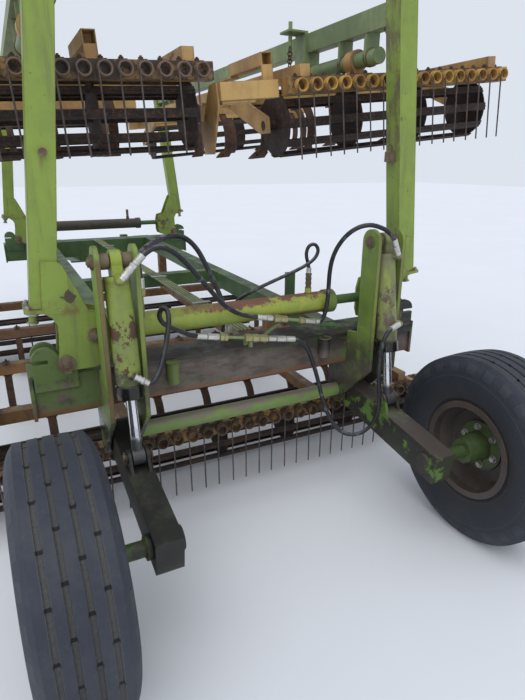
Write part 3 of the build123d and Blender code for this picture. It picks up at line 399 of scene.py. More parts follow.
def lift_marks(s, colour, place):
    """Brown band at the head, belts of spots down the barrel, soot at the gland, dust on the right."""
    x, z = place["X"], place["Z"]
    spots = s.noise(15, 8, 0.8, (1, 1, 0.7), shift=61)
    belts = s.plus(s.band(z, *heights(1.16, 1.25), 0.04), s.band(z, *heights(1.04, 1.11), 0.04))
    colour = s.mix(s.rise(s.plus(spots, s.times(belts, 0.09)), 0.58, 0.6), colour, (0.085, 0.04, 0.022))
    blots = s.rise(s.noise(9, 6, 0.75, shift=65), 0.6, 0.64)
    colour = s.paint(colour, blots, 0.75, (0.15, 0.075, 0.045))
    colour = s.paint(colour, s.band(z, *heights(1.385, 1.4), 0.006), 0.5, (0.16, 0.1, 0.05))
    soot = s.times(s.band(z, *heights(0.985, 1.035), 0.012), s.rise(spots, 0.35, 0.55))
    colour = s.paint(colour, soot, 0.85, (0.05, 0.038, 0.028))
    dust = s.rise(s.noise(5, 6, 0.7, (1.5, 1.5, 0.5), shift=63), 0.38, 0.56)
    dust = s.times(s.rise(x, 0.5, 0.6), dust, s.rise(z, *heights(0.985, 1.0)))
    return s.paint(colour, dust, 0.65, (0.15, 0.125, 0.095))


def fold_marks(s, colour, place):
    """Green left end and yellow flecks, rust under the right half, black specks, a green collar."""
    x = place["X"]
    left = s.rise(s.plus(x, s.times(s.noise(9, 6, 0.7, shift=71), 0.6)), 0.12, -0.06)
    colour = s.paint(colour, left, 0.7, (0.28, 0.36, 0.065))
    flecks = s.rise(s.noise(16, 6, 0.75, shift=72), 0.6, 0.62)
    colour = s.paint(colour, flecks, 0.6, (0.4, 0.36, 0.05))
    under = s.times(s.rise(s.split(s.normal)["Z"], -0.3, -0.62), s.rise(x, -0.1, 0.1))
    colour = s.paint(colour, under, 0.8, (0.12, 0.05, 0.035))
    specks = s.rise(s.noise(60, 4, 0.7, shift=73), 0.66, 0.7)
    colour = s.mix(specks, colour, (0.025, 0.015, 0.012))
    return s.paint(colour, s.rise(x, 0.435, 0.437), 0.7, (0.09, 0.15, 0.04))


def post_marks(s, colour, place):
    """Rust run and knee blotch on the rear left post, mottling and scabs on the right ones, brown feet."""
    x, y, z = place
    rear = s.rise(y, *aheads(0.8, 0.7))
    on_right = s.rise(x, 0.4, 0.5)
    ragged = s.times(s.noise(24, 5, 0.7, (1, 1, 0.3), shift=81), 0.02)
    run = s.band(s.plus(x, ragged), -0.876, -0.862, 0.006)
    run = s.times(run, s.band(z, *heights(1.815, 1.865), 0.03), rear)
    colour = s.paint(colour, run, 0.5, (0.16, 0.09, 0.04))
    away = s.plus(s.magnitude(s.minus(x, -0.841)), s.magnitude(s.minus(z, GROUND_Z + 1.318)))
    blotch = s.rise(s.plus(away, s.times(s.noise(28, 5, 0.7, shift=87), 0.05)), 0.06, 0.053)
    colour = s.paint(colour, s.times(blotch, rear), 0.9, (0.06, 0.035, 0.028))
    inner = s.times(s.rise(s.split(s.normal)["X"], -0.5, -0.8), on_right, s.rise(z, *heights(1.75, 2.0)))
    mottled = s.times(inner, s.rise(s.noise(13, 7, 0.75, (1, 1, 0.45), shift=85), 0.42, 0.56))
    colour = s.paint(colour, mottled, 0.8, (0.13, 0.095, 0.062))
    scabs = s.times(s.rise(s.noise(38, 5, 0.75, (1, 1, 0.5), shift=86), 0.63, 0.66), on_right)
    colour = s.paint(colour, scabs, 0.8, (0.07, 0.035, 0.02))
    feet = s.times(s.band(z, *heights(1.24, 1.3), 0.02), s.rise(s.noise(14, 6, 0.7), 0.45, 0.6))
    return s.paint(colour, feet, 0.6, RUST)


def bar_marks(s, colour, place):
    """Brown rust and soil on the rear faces of the harrow bars, most on the left and in the middle."""
    rear = s.rise(s.split(s.normal)["Y"], -0.5, -0.8)
    left = s.rise(place["X"], 0.25, 0.15)
    low = s.rise(place["Z"], 0.5, 0.4)
    share = s.plus(0.6, s.times(s.larger(left, low), 0.3))
    ragged = s.rise(s.noise(10, 6, 0.75, shift=95), 0.43, 0.52)
    return s.mix(s.times(rear, share, ragged), colour, (0.026, 0.018, 0.015))


def tower_marks(s, colour, place):
    """Dirty feet, soil and fresh moss low on the right, rusty rear edges, most on the outer left plate."""
    x, y, z = place
    dirty = s.times(s.rise(z, *heights(1.2, 0.95)), s.rise(s.noise(5, 6, 0.7, shift=93), 0.4, 0.6))
    colour = s.paint(colour, dirty, 0.75, (0.085, 0.075, 0.05))
    low = s.times(s.rise(x, 0.3, 0.5), s.rise(z, *heights(1.02, 0.86)))
    caked = s.times(low, s.rise(s.noise(7, 7, 0.75, shift=97), 0.36, 0.52))
    colour = s.paint(colour, caked, 0.9, (0.07, 0.058, 0.045))
    fresh = s.times(low, s.rise(s.noise(9, 6, 0.7, shift=98), 0.57, 0.61))
    colour = s.paint(colour, fresh, 0.85, (0.05, 0.16, 0.03))
    edge = s.rise(s.plus(y, s.times(s.noise(12, 6, 0.7, (1, 1, 0.5), shift=91), 0.02)), *aheads(0.448, 0.438))
    share = s.plus(0.15, s.times(s.rise(x, -0.7, -0.73), 0.7))
    return s.mix(s.times(edge, share), colour, (0.15, 0.075, 0.04))


materials = {
    "beam": weathered("beam_paint", (0.155, 0.118, 0.098), (0.1, 0.075, 0.06), rust=0.25, dirt=0.6, moss=0.15,
                      seed=1, extra=beam_marks),
    # Front beam, rails and drawbar: the frame's green with painted shade, a darker copy because the front
    # parts lie in shade
    "front": weathered("front_shaded_paint", (0.065, 0.135, 0.035), (0.035, 0.075, 0.024), rust=0.2, dirt=0.35,
                       moss=0.15, seed=2),
    "tower": weathered("tower_paint", (0.22, 0.32, 0.045), LIME_SHADE, dirt=0.2, moss=0.35, streaks=0.5,
                       seed=3, chips=0.9, oil=(*heights(0.5, 0.74), 0.1), extra=tower_marks),
    "post": weathered("post_paint", (0.25, 0.34, 0.052), (0.2, 0.27, 0.048), rust=0.2, dirt=0.08, moss=0.1,
                      streaks=0.35, seed=4, chips=0.9, extra=post_marks),
    "wing": weathered("wing_paint", (0.25, 0.31, 0.135), (0.15, 0.21, 0.09), dirt=0.35, streaks=0.45, seed=5),
    "fold": weathered("fold_paint", (0.3, 0.34, 0.045), (0.24, 0.3, 0.05), dirt=0.12, moss=0.1, streaks=0.15,
                      top_rust=0.85, seed=6, extra=fold_marks,
                      crust=((0.12, 0.055, 0.042), (0.21, 0.1, 0.06))),
    # Front fold barrel: a darker copy of the fold paint, with the shade of the front knee painted in, and
    # with soil
    "fold_dark": weathered("fold_shade_and_soil", (0.06, 0.05, 0.034), (0.04, 0.04, 0.024), rust=0.5, dirt=0.5,
                           seed=16),
    "lift": weathered("lift_paint", (0.29, 0.365, 0.045), (0.2, 0.25, 0.06), rust=0.2, dirt=0.1, moss=0.25,
                      seed=7, oil=(*heights(0.88, 0.985), 0.012), extra=lift_marks),
    "axle": weathered("axle_paint", (0.055, 0.062, 0.035), (0.024, 0.022, 0.018), rust=0.25, moss=0.15,
                      streaks=0.2, seed=8, dirt_colour=(0.05, 0.043, 0.034), extra=axle_marks),
    "section": weathered("section_paint", (0.56, 0.35, 0.115), (0.34, 0.185, 0.065), rust=0.6, dirt=0.2,
                         moss=0.0, streaks=0.35, seed=9, crust=((0.1, 0.05, 0.028), (0.2, 0.09, 0.035))),
    "centre": weathered("centre_paint", OCHRE_SHADE, (0.12, 0.07, 0.035), rust=0.9, dirt=0.6, moss=0.0,
                        seed=10),
    "rim": weathered("rim_coat", (0.085, 0.065, 0.055), (0.05, 0.042, 0.036), rust=0.4, dirt=0.4, moss=0.3,
                     streaks=0.1, seed=11, extra=rim_marks),
    "jack": weathered("jack_paint", LEAF, LEAF_SHADE, rust=0.4, dirt=0.4, moss=0.1, seed=12),
    "rod_green": weathered("rod_paint", (0.1, 0.17, 0.04), LEAF, rust=0.2, dirt=0.2, moss=0.1, streaks=0.2,
                           seed=13),
    "pipe": weathered("pipe_paint", (0.24, 0.3, 0.09), (0.16, 0.18, 0.1), dirt=0.2, streaks=0.2, seed=14),
    "bar": weathered("bar_paint", (0.4, 0.23, 0.06), (0.2, 0.11, 0.045), rust=0.8, dirt=0.35, moss=0.0,
                     streaks=0.4, seed=15, crust=((0.07, 0.035, 0.022), (0.16, 0.07, 0.03)), extra=bar_marks),
    "coils_left": rusty("coil_rust", (0.15, 0.12, 0.105), (0.21, 0.135, 0.09), rough=0.75, soot=0.2, seed=1),
    "coils_centre": rusty("coil_soil", (0.17, 0.115, 0.08), (0.1, 0.06, 0.035), seed=1.5),
    "coils_right": rusty("coil_ochre", (0.58, 0.34, 0.07), (0.3, 0.16, 0.05), rough=0.7, soot=0.1, seed=1.2),
    "wires": rusty("wire_rust", (0.11, 0.095, 0.09), (0.06, 0.046, 0.04), rough=0.6, soot=0.2, seed=1.7),
    "tines": rusty("tine_rust", (0.085, 0.045, 0.025), RUST_DARK, soot=0.4, seed=2),
    "roller": rusty("roller_rust", (0.05, 0.03, 0.022), (0.016, 0.012, 0.011), rough=0.72, soot=0.5, seed=3),
    "chain": rusty("chain_rust", (0.1, 0.06, 0.04), RUST_DARK, rough=0.7, seed=4),
    "weld": rusty("weld_metal", (0.14, 0.16, 0.05), (0.11, 0.06, 0.03), rough=0.7, soot=0.2, seed=5),
    "pins": rusty("pin_rust", (0.12, 0.07, 0.045), (0.2, 0.17, 0.1), rough=0.55, soot=0.2, seed=6),
    "steel": metal("worn_steel", (0.42, 0.41, 0.39)),
    "plated": metal("plated_steel", (0.66, 0.65, 0.6), rough=0.3, dull=0.15),
    "brass": metal("passivated_steel", (0.46, 0.42, 0.22), seed=3),
    "chrome": chrome_rod("rod_chrome"),
    "tyre": tyre_rubber("tyre_rubber"),
    "hose": hose_rubber("hose_cover"),
}

# Which material each CAD node wears: the first start of the name that fits
NODE_FINISH = (
    ("rear_beam", "beam"), ("front_beam", "front"), ("frame_rails", "front"), ("frame_pins", "pins"),
    ("drawbar", "front"), ("lift_towers", "tower"), ("lift_barrel", "lift"), ("lift_rod", "chrome"),
    ("fold_barrel_rear", "fold"), ("fold_barrel_front", "fold_dark"), ("fold_rod", "rod_green"),
    ("wing_posts", "post"), ("wing_beam", "wing"), ("swing_axle", "axle"), ("section_frame_centre", "centre"),
    ("section_frame", "section"), ("harrow", "bar"), ("tines", "tines"), ("roller", "roller"),
    ("tyre", "tyre"), ("rim", "rim"), ("jack_tube", "jack"), ("jack_leg", "steel"), ("hitch_eye", "steel"),
    ("hydraulic_lines", "pipe"), ("bracket_chain", "chain"), ("hose", "hose"),
)


def wear(obj, finish):
    """Gives an object one material."""
    obj.data.materials.clear()
    obj.data.materials.append(materials[finish])
    return obj


for node_name, node in nodes.items():
    wear(node, next(finish for start, finish in NODE_FINISH if node_name.startswith(start)))


# Hoses: the routes of the CAD tubes as smooth splines
HOSES = {
    "hose_left_head": (0.022, (
        (-0.611, 0.388, 1.471), (-0.568, 0.385, 1.515), (-0.512, 0.408, 1.530), (-0.450, 0.436, 1.506),
        (-0.392, 0.464, 1.456), (-0.338, 0.490, 1.396), (-0.284, 0.511, 1.336), (-0.230, 0.538, 1.272),
        (-0.172, 0.562, 1.212), (-0.104, 0.586, 1.164), (-0.027, 0.600, 1.135), (0.059, 0.600, 1.118),
    )),
    "hose_right_head": (0.022, (
        (0.346, 0.600, 1.062), (0.374, 0.600, 1.057), (0.396, 0.599, 1.078), (0.406, 0.596, 1.118),
        (0.410, 0.590, 1.185), (0.405, 0.580, 1.255), (0.397, 0.566, 1.325), (0.394, 0.545, 1.395),
        (0.402, 0.512, 1.462), (0.424, 0.472, 1.520), (0.460, 0.436, 1.556), (0.507, 0.412, 1.567),
        (0.556, 0.403, 1.556), (0.604, 0.400, 1.536), (0.649, 0.403, 1.502), (0.6702, 0.4078, 1.4596),
    )),
    "hose_left_gland": (0.022, (
        (-0.6208, 0.3498, 0.9992), (-0.597, 0.345, 0.983), (-0.564, 0.352, 1.004), (-0.530, 0.380, 1.064),
        (-0.499, 0.415, 1.132), (-0.476, 0.445, 1.200), (-0.470, 0.466, 1.249), (-0.485, 0.494, 1.261),
        (-0.499, 0.514, 1.228), (-0.488, 0.532, 1.190), (-0.458, 0.552, 1.158), (-0.398, 0.578, 1.122),
        (-0.324, 0.601, 1.076), (-0.254, 0.600, 1.064),
    )),
    "hose_right_gland": (0.022, (
        (0.6536, 0.3474, 1.0619), (0.612, 0.329, 1.058), (0.576, 0.322, 1.020), (0.557, 0.320, 0.950),
        (0.555, 0.318, 0.865), (0.566, 0.319, 0.775), (0.582, 0.323, 0.685), (0.586, 0.331, 0.595),
        (0.558, 0.350, 0.515), (0.497, 0.378, 0.468), (0.424, 0.418, 0.478), (0.374, 0.458, 0.552),
        (0.346, 0.498, 0.660), (0.331, 0.530, 0.770), (0.312, 0.556, 0.860), (0.288, 0.576, 0.938),
        (0.236, 0.588, 0.984), (0.169, 0.590, 0.995),
    )),
    "hose_supply": (0.026, (
        (-0.060, 0.800, 1.000), (-0.060, 0.800, 1.062), (-0.072, 0.832, 1.150), (-0.100, 0.870, 1.245),
        (-0.136, 0.895, 1.340), (-0.178, 0.905, 1.430), (-0.242, 0.900, 1.492), (-0.325, 0.860, 1.508),
        (-0.405, 0.795, 1.500), (-0.475, 0.715, 1.488), (-0.530, 0.640, 1.470), (-0.560, 0.572, 1.447),
        (-0.566, 0.520, 1.402), (-0.566, 0.520, 1.345),
    )),
    "hose_fold": (0.018, (
        (-0.105, 0.770, 0.985), (-0.105, 0.770, 1.030), (-0.094, 0.769, 1.085), (-0.068, 0.755, 1.145),
        (-0.024, 0.726, 1.200), (0.036, 0.694, 1.238), (0.100, 0.670, 1.270), (0.165, 0.656, 1.297),
        (0.230, 0.650, 1.320), (0.290, 0.650, 1.342), (0.340, 0.650, 1.366), (0.371, 0.652, 1.392),
        (0.384, 0.656, 1.426), (0.364, 0.662, 1.454), (0.334, 0.668, 1.447), (0.322, 0.674, 1.414),
        (0.328, 0.678, 1.378), (0.340, 0.6725, 1.342), (0.340, 0.6725, 1.305),
    )),
}


for label, (diameter, route) in HOSES.items():
    curve = bpy.data.curves.new(label + "_line", "CURVE")
    curve.dimensions = "3D"
    curve.bevel_depth = diameter / 2
    curve.bevel_resolution = 4
    curve.use_fill_caps = True
    spline = curve.splines.new("NURBS")
    spots = [site(*point) for point in route]
    spline.points.add(len(spots) - 1)
    for point, spot in zip(spline.points, spots):
        point.co = (*spot, 1)
    spline.order_u = 3
    spline.use_endpoint_u = True
    spline.resolution_u = 8
    hose = bpy.data.objects.new(label + "_cover", curve)
    bpy.context.scene.collection.objects.link(hose)
    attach(hose, "frame")
    wear(hose, "hose")
    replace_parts(hose, label)


# Small hardware: shapes gathered by body and finish, one object each
gathered = {}


def shapes(body, finish):
    """The mesh that gathers the small shapes of a body and a finish."""
    if (body, finish) not in gathered:
        gathered[body, finish] = bmesh.new()
    return gathered[body, finish]


def piece(name, mesh, body, finish):
    """An object of a mesh, which rides on a body and wears a finish."""
    data = bpy.data.meshes.new(name)
    mesh.to_mesh(data)
    mesh.free()
    made = bpy.data.objects.new(name, data)
    bpy.context.scene.collection.objects.link(made)
    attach(made, body)
    return wear(made, finish)


def rod(mesh, start, end, radius, sides=16):
    """Closed prism between two points."""
    turn = (end - start).to_track_quat("Z", "Y").to_matrix().to_4x4()
    bmesh.ops.create_cone(mesh, cap_ends=True, segments=sides, radius1=radius, radius2=radius,
                          depth=(end - start).length, matrix=Matrix.Translation((start + end) / 2) @ turn)


def collars(mesh, start, end, shares, half, radius, sides=20):
    """Short rings round the line between two points, at shares of its length."""
    for share in shares:
        rod(mesh, start.lerp(end, share - half), start.lerp(end, share + half), radius, sides)


def slab(mesh, centre, size, place=Matrix.Identity(4)):
    """Box of a size about a centre."""
    matrix = place @ Matrix.Translation(centre) @ Matrix.Diagonal((*size, 1))
    bmesh.ops.create_cube(mesh, size=1, matrix=matrix)


def bolt(mesh, spot, axis, across, height, stud=0.0):
    """Hexagon head on a washer, with the stud's end if it has one."""
    way = Vector(axis).normalized()
    washer_top = spot + way * height * 0.25
    rod(mesh, spot, washer_top, across * 0.78, 20)
    rod(mesh, washer_top, spot + way * height, across * 0.577, 6)
    if stud:
        rod(mesh, spot, spot + way * (height + stud), across * 0.3, 12)


def circle(centre, axis, radius, count):
    """Points on a circle about an axis."""
    turn = Vector(axis).to_track_quat("Z", "Y").to_matrix()
    angles = [2 * math.pi * k / count for k in range(count)]
    return [centre + turn @ Vector((radius * math.cos(a), radius * math.sin(a), 0)) for a in angles]


def bead(mesh, points, radius):
    """Weld bead with its ripples along a closed line of points."""
    pace = radius * 0.9
    for a, b in zip(points, [*points[1:], points[0]]):
        steps = max(1, int((b - a).length / pace))
        for step in range(steps):
            here = a.lerp(b, (step + 0.5) / steps)
            ripple = 1 + 0.18 * math.sin(step * 2.3)
            bmesh.ops.create_icosphere(mesh, subdivisions=1, radius=radius * ripple,
                                       matrix=Matrix.Translation(here))


def tube(mesh, points, radius, sides=6):
    """Round wire along a line of points."""
    rings = []
    turns = [2 * math.pi * k / sides for k in range(sides)]
    side = Vector(ALONG_X)
    for index, point in enumerate(points):
        ahead = (points[min(index + 1, len(points) - 1)] - points[max(index - 1, 0)]).normalized()
        side = (side - ahead * side.dot(ahead)).normalized()
        other = ahead.cross(side)
        ways = [side * math.cos(a) + other * math.sin(a) for a in turns]
        rings.append([mesh.verts.new(point + way * radius) for way in ways])
    for before, after in zip(rings, rings[1:]):
        for k in range(sides):
            mesh.faces.new((before[k], before[(k + 1) % sides], after[(k + 1) % sides], after[k]))
    mesh.faces.new(rings[0][::-1])
    mesh.faces.new(rings[-1])


# Ferrules at the hose ends, with four crimps
FERRULE_LENGTH = 0.05
for diameter, route in HOSES.values():
    for near, far in ((route[0], route[1]), (route[-1], route[-2])):
        start, ahead = site(*near), site(*far)
        length = min(FERRULE_LENGTH, 0.75 * (ahead - start).length)
        end = start + (ahead - start).normalized() * length
        rod(shapes("frame", "plated"), start, end, diameter / 2 + 0.0025, 20)
        collars(shapes("frame", "plated"), start, end, (0.12, 0.37, 0.62, 0.87), 0.08, diameter / 2 + 0.004)

# Hexagon nuts on the two steel lines, which run between hose ends: x of both faces, radius, finish
HEAD_LINE = (HOSES["hose_left_head"][1][-1], HOSES["hose_right_head"][1][0])
GLAND_LINE = (HOSES["hose_left_gland"][1][-1], HOSES["hose_right_gland"][1][-1])
LINE_NUTS = (
    (HEAD_LINE, (
        (0.060, 0.092, 0.0165, "plated"), (0.102, 0.133, 0.0209, "brass"), (0.137, 0.176, 0.0187, "brass"),
        (0.248, 0.274, 0.0187, "brass"), (0.282, 0.340, 0.0143, "plated"),
    )),
    (GLAND_LINE, (
        (-0.250, -0.196, 0.0165, "plated"), (-0.188, -0.172, 0.0209, "brass"),
        (-0.168, -0.152, 0.0209, "brass"), (-0.058, -0.030, 0.022, "brass"), (-0.018, 0.010, 0.022, "brass"),
        (0.018, 0.060, 0.0198, "brass"), (0.068, 0.108, 0.0154, "plated"), (0.114, 0.164, 0.0165, "plated"),
    )),
)
for line, nuts in LINE_NUTS:
    start, end = site(*line[0]), site(*line[1])
    for near, far, radius, finish in nuts:
        faces = [start.lerp(end, (x - start.x) / (end.x - start.x)) for x in (near, far)]
        rod(shapes("frame", finish), *faces, radius, 6)

# Upright nuts at both ends of the supply line and the foot of the fold hose: x, ahead, two heights, radius
UPRIGHT_NUTS = (
    (-0.060, 0.800, 0.9705, 0.998, 0.022),
    (-0.105, 0.770, 0.9705, 0.984, 0.0176),
    (-0.566, 0.520, 1.3135, 1.343, 0.0187),
)
for x, ahead, low, high, radius in UPRIGHT_NUTS:
    rod(shapes("frame", "brass"), site(x, ahead, low), site(x, ahead, high), radius, 6)

# Elbows on the cylinder ports: body, end of the boss, end of the elbow, finish
ELBOWS = (
    ("lift_barrel_left", (-0.672, 0.392, 1.408), (-0.612, 0.388, 1.470), "plated"),
    ("lift_barrel_left", (-0.664, 0.358, 1.028), (-0.622, 0.350, 1.000), "plated"),
    ("lift_barrel_right", (0.698, 0.414, 1.405), (0.671, 0.408, 1.458), "plated"),
    ("lift_barrel_right", (0.711, 0.3725, 1.066), (0.655, 0.348, 1.062), "plated"),
    ("fold_barrel_rear", (0.340, KNEES["rear"], 1.229), (0.340, KNEES["rear"], 1.3045), "pins"),
    ("fold_barrel_front", (0.340, KNEES["front"], 1.229), (0.340, KNEES["front"], 1.3045), "pins"),
)
for body, start, end, finish in ELBOWS:
    start, end = site(*start), site(*end)
    sleeve = shapes(body, finish)
    rod(sleeve, start - (end - start).normalized() * 0.002, end, 0.0142, 20)
    collars(sleeve, start, end, (0.3, 0.62), 0.07, 0.0162)
    collars(sleeve, start, end, (0.9,), 0.07, 0.0162, 6)

# Upright plate on the right rail
slab(shapes("frame", "front"), site(0.585, 1.3, 1.073), (0.07, 0.012, 0.205))

# Pipe clamps over the four steel pipes, which run from the rear beam to the front one
PIPES_REAR, PIPES_FRONT = site(0.062, 0.86, 0.9875), site(-0.048, 4.8, 0.9875)
for y in aheads(1.5, 2.4, 3.3, 4.2):
    share = (y - PIPES_REAR.y) / (PIPES_FRONT.y - PIPES_REAR.y)
    slab(shapes("frame", "steel"), PIPES_REAR.lerp(PIPES_FRONT, share), (0.12, 0.03, 0.006))

# Hinge pins: lock plate with its bolt on both faces of each knee
HINGE_X, HINGE_HEIGHT, LOCK_PLATE = 0.884, 1.03, 0.006
for ahead in KNEES.values():
    for sign in (-1, 1):
        for way in (-1, 1):
            face = ahead + way * 0.0785
            slab(shapes("frame", "pins"), site(sign * HINGE_X, face, HINGE_HEIGHT), (0.03, LOCK_PLATE, 0.08))
            spot = site(sign * HINGE_X, face + way * LOCK_PLATE / 2, HINGE_HEIGHT)
            bolt(shapes("frame", "pins"), spot, (0, way, 0), 0.024, 0.014)

# Fold pins: a head with its stud on both faces of each knee, and three bolts round the right ones
FOLD_X, FOLD_HEIGHT, KNEE_FACE = 0.755, 1.145, 0.0755
for ahead in KNEES.values():
    for side, sign in SIDES:
        for way in (-1, 1):
            spot = site(sign * FOLD_X, ahead + way * KNEE_FACE, FOLD_HEIGHT)
            bolt(shapes(f"wing_{side}", "pins"), spot, (0, way, 0), 0.04, 0.016, 0.006)
    for dx, dz in ((0.052, 0.03), (-0.052, 0.03), (0, -0.058)):
        spot = site(FOLD_X + dx, ahead - KNEE_FACE, FOLD_HEIGHT + dz)
        bolt(shapes("wing_right", "pins"), spot, (0, -1, 0), 0.02, 0.012)

# Lift pins: heads on both ends of the tower pins and of the clevis pins
for side, sign in SIDES:
    for x, way in ((0.575, -1), (0.761, 1)):
        bolt(shapes("frame", "pins"), site(sign * x, 0.493, 1.47), (sign * way, 0, 0), 0.034, 0.012, 0.004)
    for x, way in ((0.613, -1), (0.723, 1)):
        bolt(shapes("swing_axle", "pins"), site(sign * x, 0.36, 0.66), (sign * way, 0, 0), 0.036, 0.007)

# Wheel bolts through the hub flanges: heads on the inner faces, nuts with their studs on the outer ones
WHEEL_BOLTS, BOLT_CIRCLE = 6, 0.1
for side, sign in SIDES:
    steel = shapes(f"wheel_{side}", "steel")
    for index in range(WHEEL_BOLTS):
        angle = 2 * math.pi * index / WHEEL_BOLTS + 0.3
        ahead, above = BOLT_CIRCLE * math.cos(angle), WHEEL_HEIGHT + BOLT_CIRCLE * math.sin(angle)
        bolt(steel, site(sign * 0.984, ahead, above), (-sign, 0, 0), 0.026, 0.016)
        bolt(steel, site(sign * 1.012, ahead, above), (sign, 0, 0), 0.03, 0.018, 0.012)

# Foot plates of the posts: bolts at the corners, lock nuts on the stop bolts, a weld round the post
LEAN = math.radians(6.3)
POST_HALF = 0.0525
SQUARE = ((-POST_HALF, -POST_HALF), (POST_HALF, -POST_HALF), (POST_HALF, POST_HALF), (-POST_HALF, POST_HALF))
for ahead in KNEES.values():
    for side, sign in SIDES:
        steel = shapes(f"wing_{side}", "steel")
        place = Matrix.Translation(site(sign * 0.942, ahead, 1.27)) @ Matrix.Rotation(-sign * LEAN, 4, "Y")
        upward = place.to_3x3() @ Vector(ALONG_Z)
        for dx in (-0.062, 0.062):
            for dy in (-0.055, 0.055):
                bolt(steel, place @ Vector((dx, dy, 0)), upward, 0.018, 0.012, 0.005)
        stop = place @ Vector((sign * 0.04, 0, -0.015))
        rod(steel, stop, stop - upward * 0.02, 0.026, 6)
        rod(steel, stop - upward * 0.05, stop - upward * 0.056, 0.024, 6)
        bead(shapes(f"wing_{side}", "weld"), [place @ Vector((x, y, 0)) for x, y in SQUARE], 0.005)

# Pin on the rear left post and ring pin bracket on the rear right one
POST_PIN_HEIGHT = 1.87
for stretch, radius in (((0.62, 0.6), 0.011), ((0.602, 0.596), 0.016)):
    ends = [site(-0.872, ahead, POST_PIN_HEIGHT) for ahead in stretch]
    rod(shapes("wing_left", "pins"), *ends, radius)
ring_pin = shapes("wing_right", "pins")
slab(ring_pin, site(0.806, 0.672, POST_PIN_HEIGHT), (0.034, 0.05, 0.05))
rod(ring_pin, site(0.8, 0.672, POST_PIN_HEIGHT - 0.03), site(0.8, 0.672, POST_PIN_HEIGHT + 0.035), 0.008)
bead(ring_pin, circle(site(0.8, 0.672, POST_PIN_HEIGHT + 0.045), ALONG_Y, 0.013, 20), 0.003)


def weld(body, centre, axis, radius, count, thick):
    """Ring of weld round a tube."""
    bead(shapes(body, "weld"), circle(centre, axis, radius, count), thick)


# Welds round the axle's tubes, the rear beam's bushes, the pivot tubes at their legs, and the fold barrels
PIVOT_X, PIVOT_HEIGHT = 0.82, 2.36
HANGER_LEGS = (0.902, 1.14, 1.49, 4.015, 4.365, 4.603)
LEG_THICKNESS = 0.02
for side, sign in SIDES:
    weld("swing_axle", site(sign * 0.613, 0.72, 0.59), ALONG_X, 0.039, 30, 0.006)
    weld("swing_axle", site(sign * 0.743, 0, WHEEL_HEIGHT), ALONG_X, 0.033, 24, 0.006)
    weld("frame", site(sign * 0.42, 0.614, 0.958), ALONG_Z, 0.03, 24, 0.004)
    for leg in HANGER_LEGS:
        for ahead in (leg, leg + LEG_THICKNESS):
            weld(f"wing_{side}", site(sign * PIVOT_X, ahead, PIVOT_HEIGHT), ALONG_Y, 0.041, 24, 0.005)
for end, ahead in KNEES.items():
    for x, radius in ((-0.55, 0.045), (0.435, 0.0555)):
        weld(f"fold_barrel_{end}", site(x, ahead, FOLD_HEIGHT), ALONG_X, radius, 40, 0.004)
    weld(f"fold_barrel_{end}", site(0.34, ahead, 1.1995), ALONG_Z, 0.018, 20, 0.003)

# Sections: name, body, x and height of the pivot, shift and drop of the bar, tilt, coils, half width
SECTIONS = (
    ("left", "section_left", -PIVOT_X, PIVOT_HEIGHT, -0.015, 0.171, -3.3, 17, 0.75),
    ("centre", "frame", 0.0, 0.405, 0.0, 0.0, 0.0, 33, 1.45),
    ("right", "section_right", PIVOT_X, PIVOT_HEIGHT, 0.23, 0.114, -6.0, 17, 0.75),
)
# Stretch of the right section where the wing beam leaves no room for bolts
UNDER_BEAM = (-0.18, 0.04)

HARROW_Y, COIL_FRONT_Y, COIL_BACK_Y = aheads(0.9225, 0.881, 0.8437)
BAR_SIZE = 0.076
COIL_PITCH, COIL_RADIUS, COIL_TURNS, COIL_STEPS = 0.086, 0.0288, 4, 72
WIRE_RADIUS, WIRE_DROP, WIRE_LEAN = 0.0042, 0.343, 0.004
ROLLERS = {"roller_rear": 1.1525, "roller_front": 3.7425}
ROLLER_DROP, SLAT_REACH, SLATS = 0.165, 0.169, 10
TINE_ROWS = (1.5325, 2.3725, 3.2725)
TINE_PITCH, ROW_SHIFT, CLAMP_AHEAD = 0.33, 0.11, 0.038


def has_room(name, along):
    """Whether bolts fit at this place along a section."""
    return name != "right" or not UNDER_BEAM[0] < along < UNDER_BEAM[1]


def coil_tine(springs, wires, place, x, lean):
    """Coil spring behind the harrow bar, with the straight wire that hangs from its rear turn."""
    turns = []
    for step in range(COIL_STEPS + 1):
        share = step / COIL_STEPS
        angle = math.pi + 2 * math.pi * COIL_TURNS * (1 - share)
        y = COIL_FRONT_Y + (COIL_BACK_Y - COIL_FRONT_Y) * share
        turns.append(place @ Vector((x + COIL_RADIUS * math.cos(angle), y, COIL_RADIUS * math.sin(angle))))
    tube(springs, turns, WIRE_RADIUS)
    top = Vector((x - COIL_RADIUS, COIL_BACK_Y, 0.0))
    tip = top + Vector((lean, 0, -WIRE_DROP))
    tube(wires, [place @ top.lerp(tip, share) for share in (0, 0.1, 0.5, 1)], WIRE_RADIUS)


def harrow(name, body, place, half, coils):
    """Harrow bar with its coil tines, and a clamp with its bolt over each."""
    upward = place.to_3x3() @ Vector(ALONG_Z)
    bar, springs, wires = bmesh.new(), bmesh.new(), bmesh.new()
    slab(bar, (0, HARROW_Y, 0), (2 * half, BAR_SIZE, BAR_SIZE), place)
    for index in range(coils):
        along = COIL_PITCH * (index - (coils - 1) / 2)
        coil_tine(springs, wires, place, along, random.uniform(-WIRE_LEAN, WIRE_LEAN))
        if has_room(name, along):
            bolt(shapes(body, "chain"), place @ Vector((along, HARROW_Y, 0.041)), upward, 0.02, 0.012, 0.006)
            slab(shapes(body, "chain"), (along, HARROW_Y, 0.0395), (0.04, 0.07, 0.004), place)
    parts = (("bar", bar, "bar"), ("springs", springs, f"coils_{name}"), ("wires", wires, "wires"))
    for part, mesh, finish in parts:
        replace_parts(piece(f"harrow_{name}_{part}", mesh, body, finish), f"harrow_{name}")


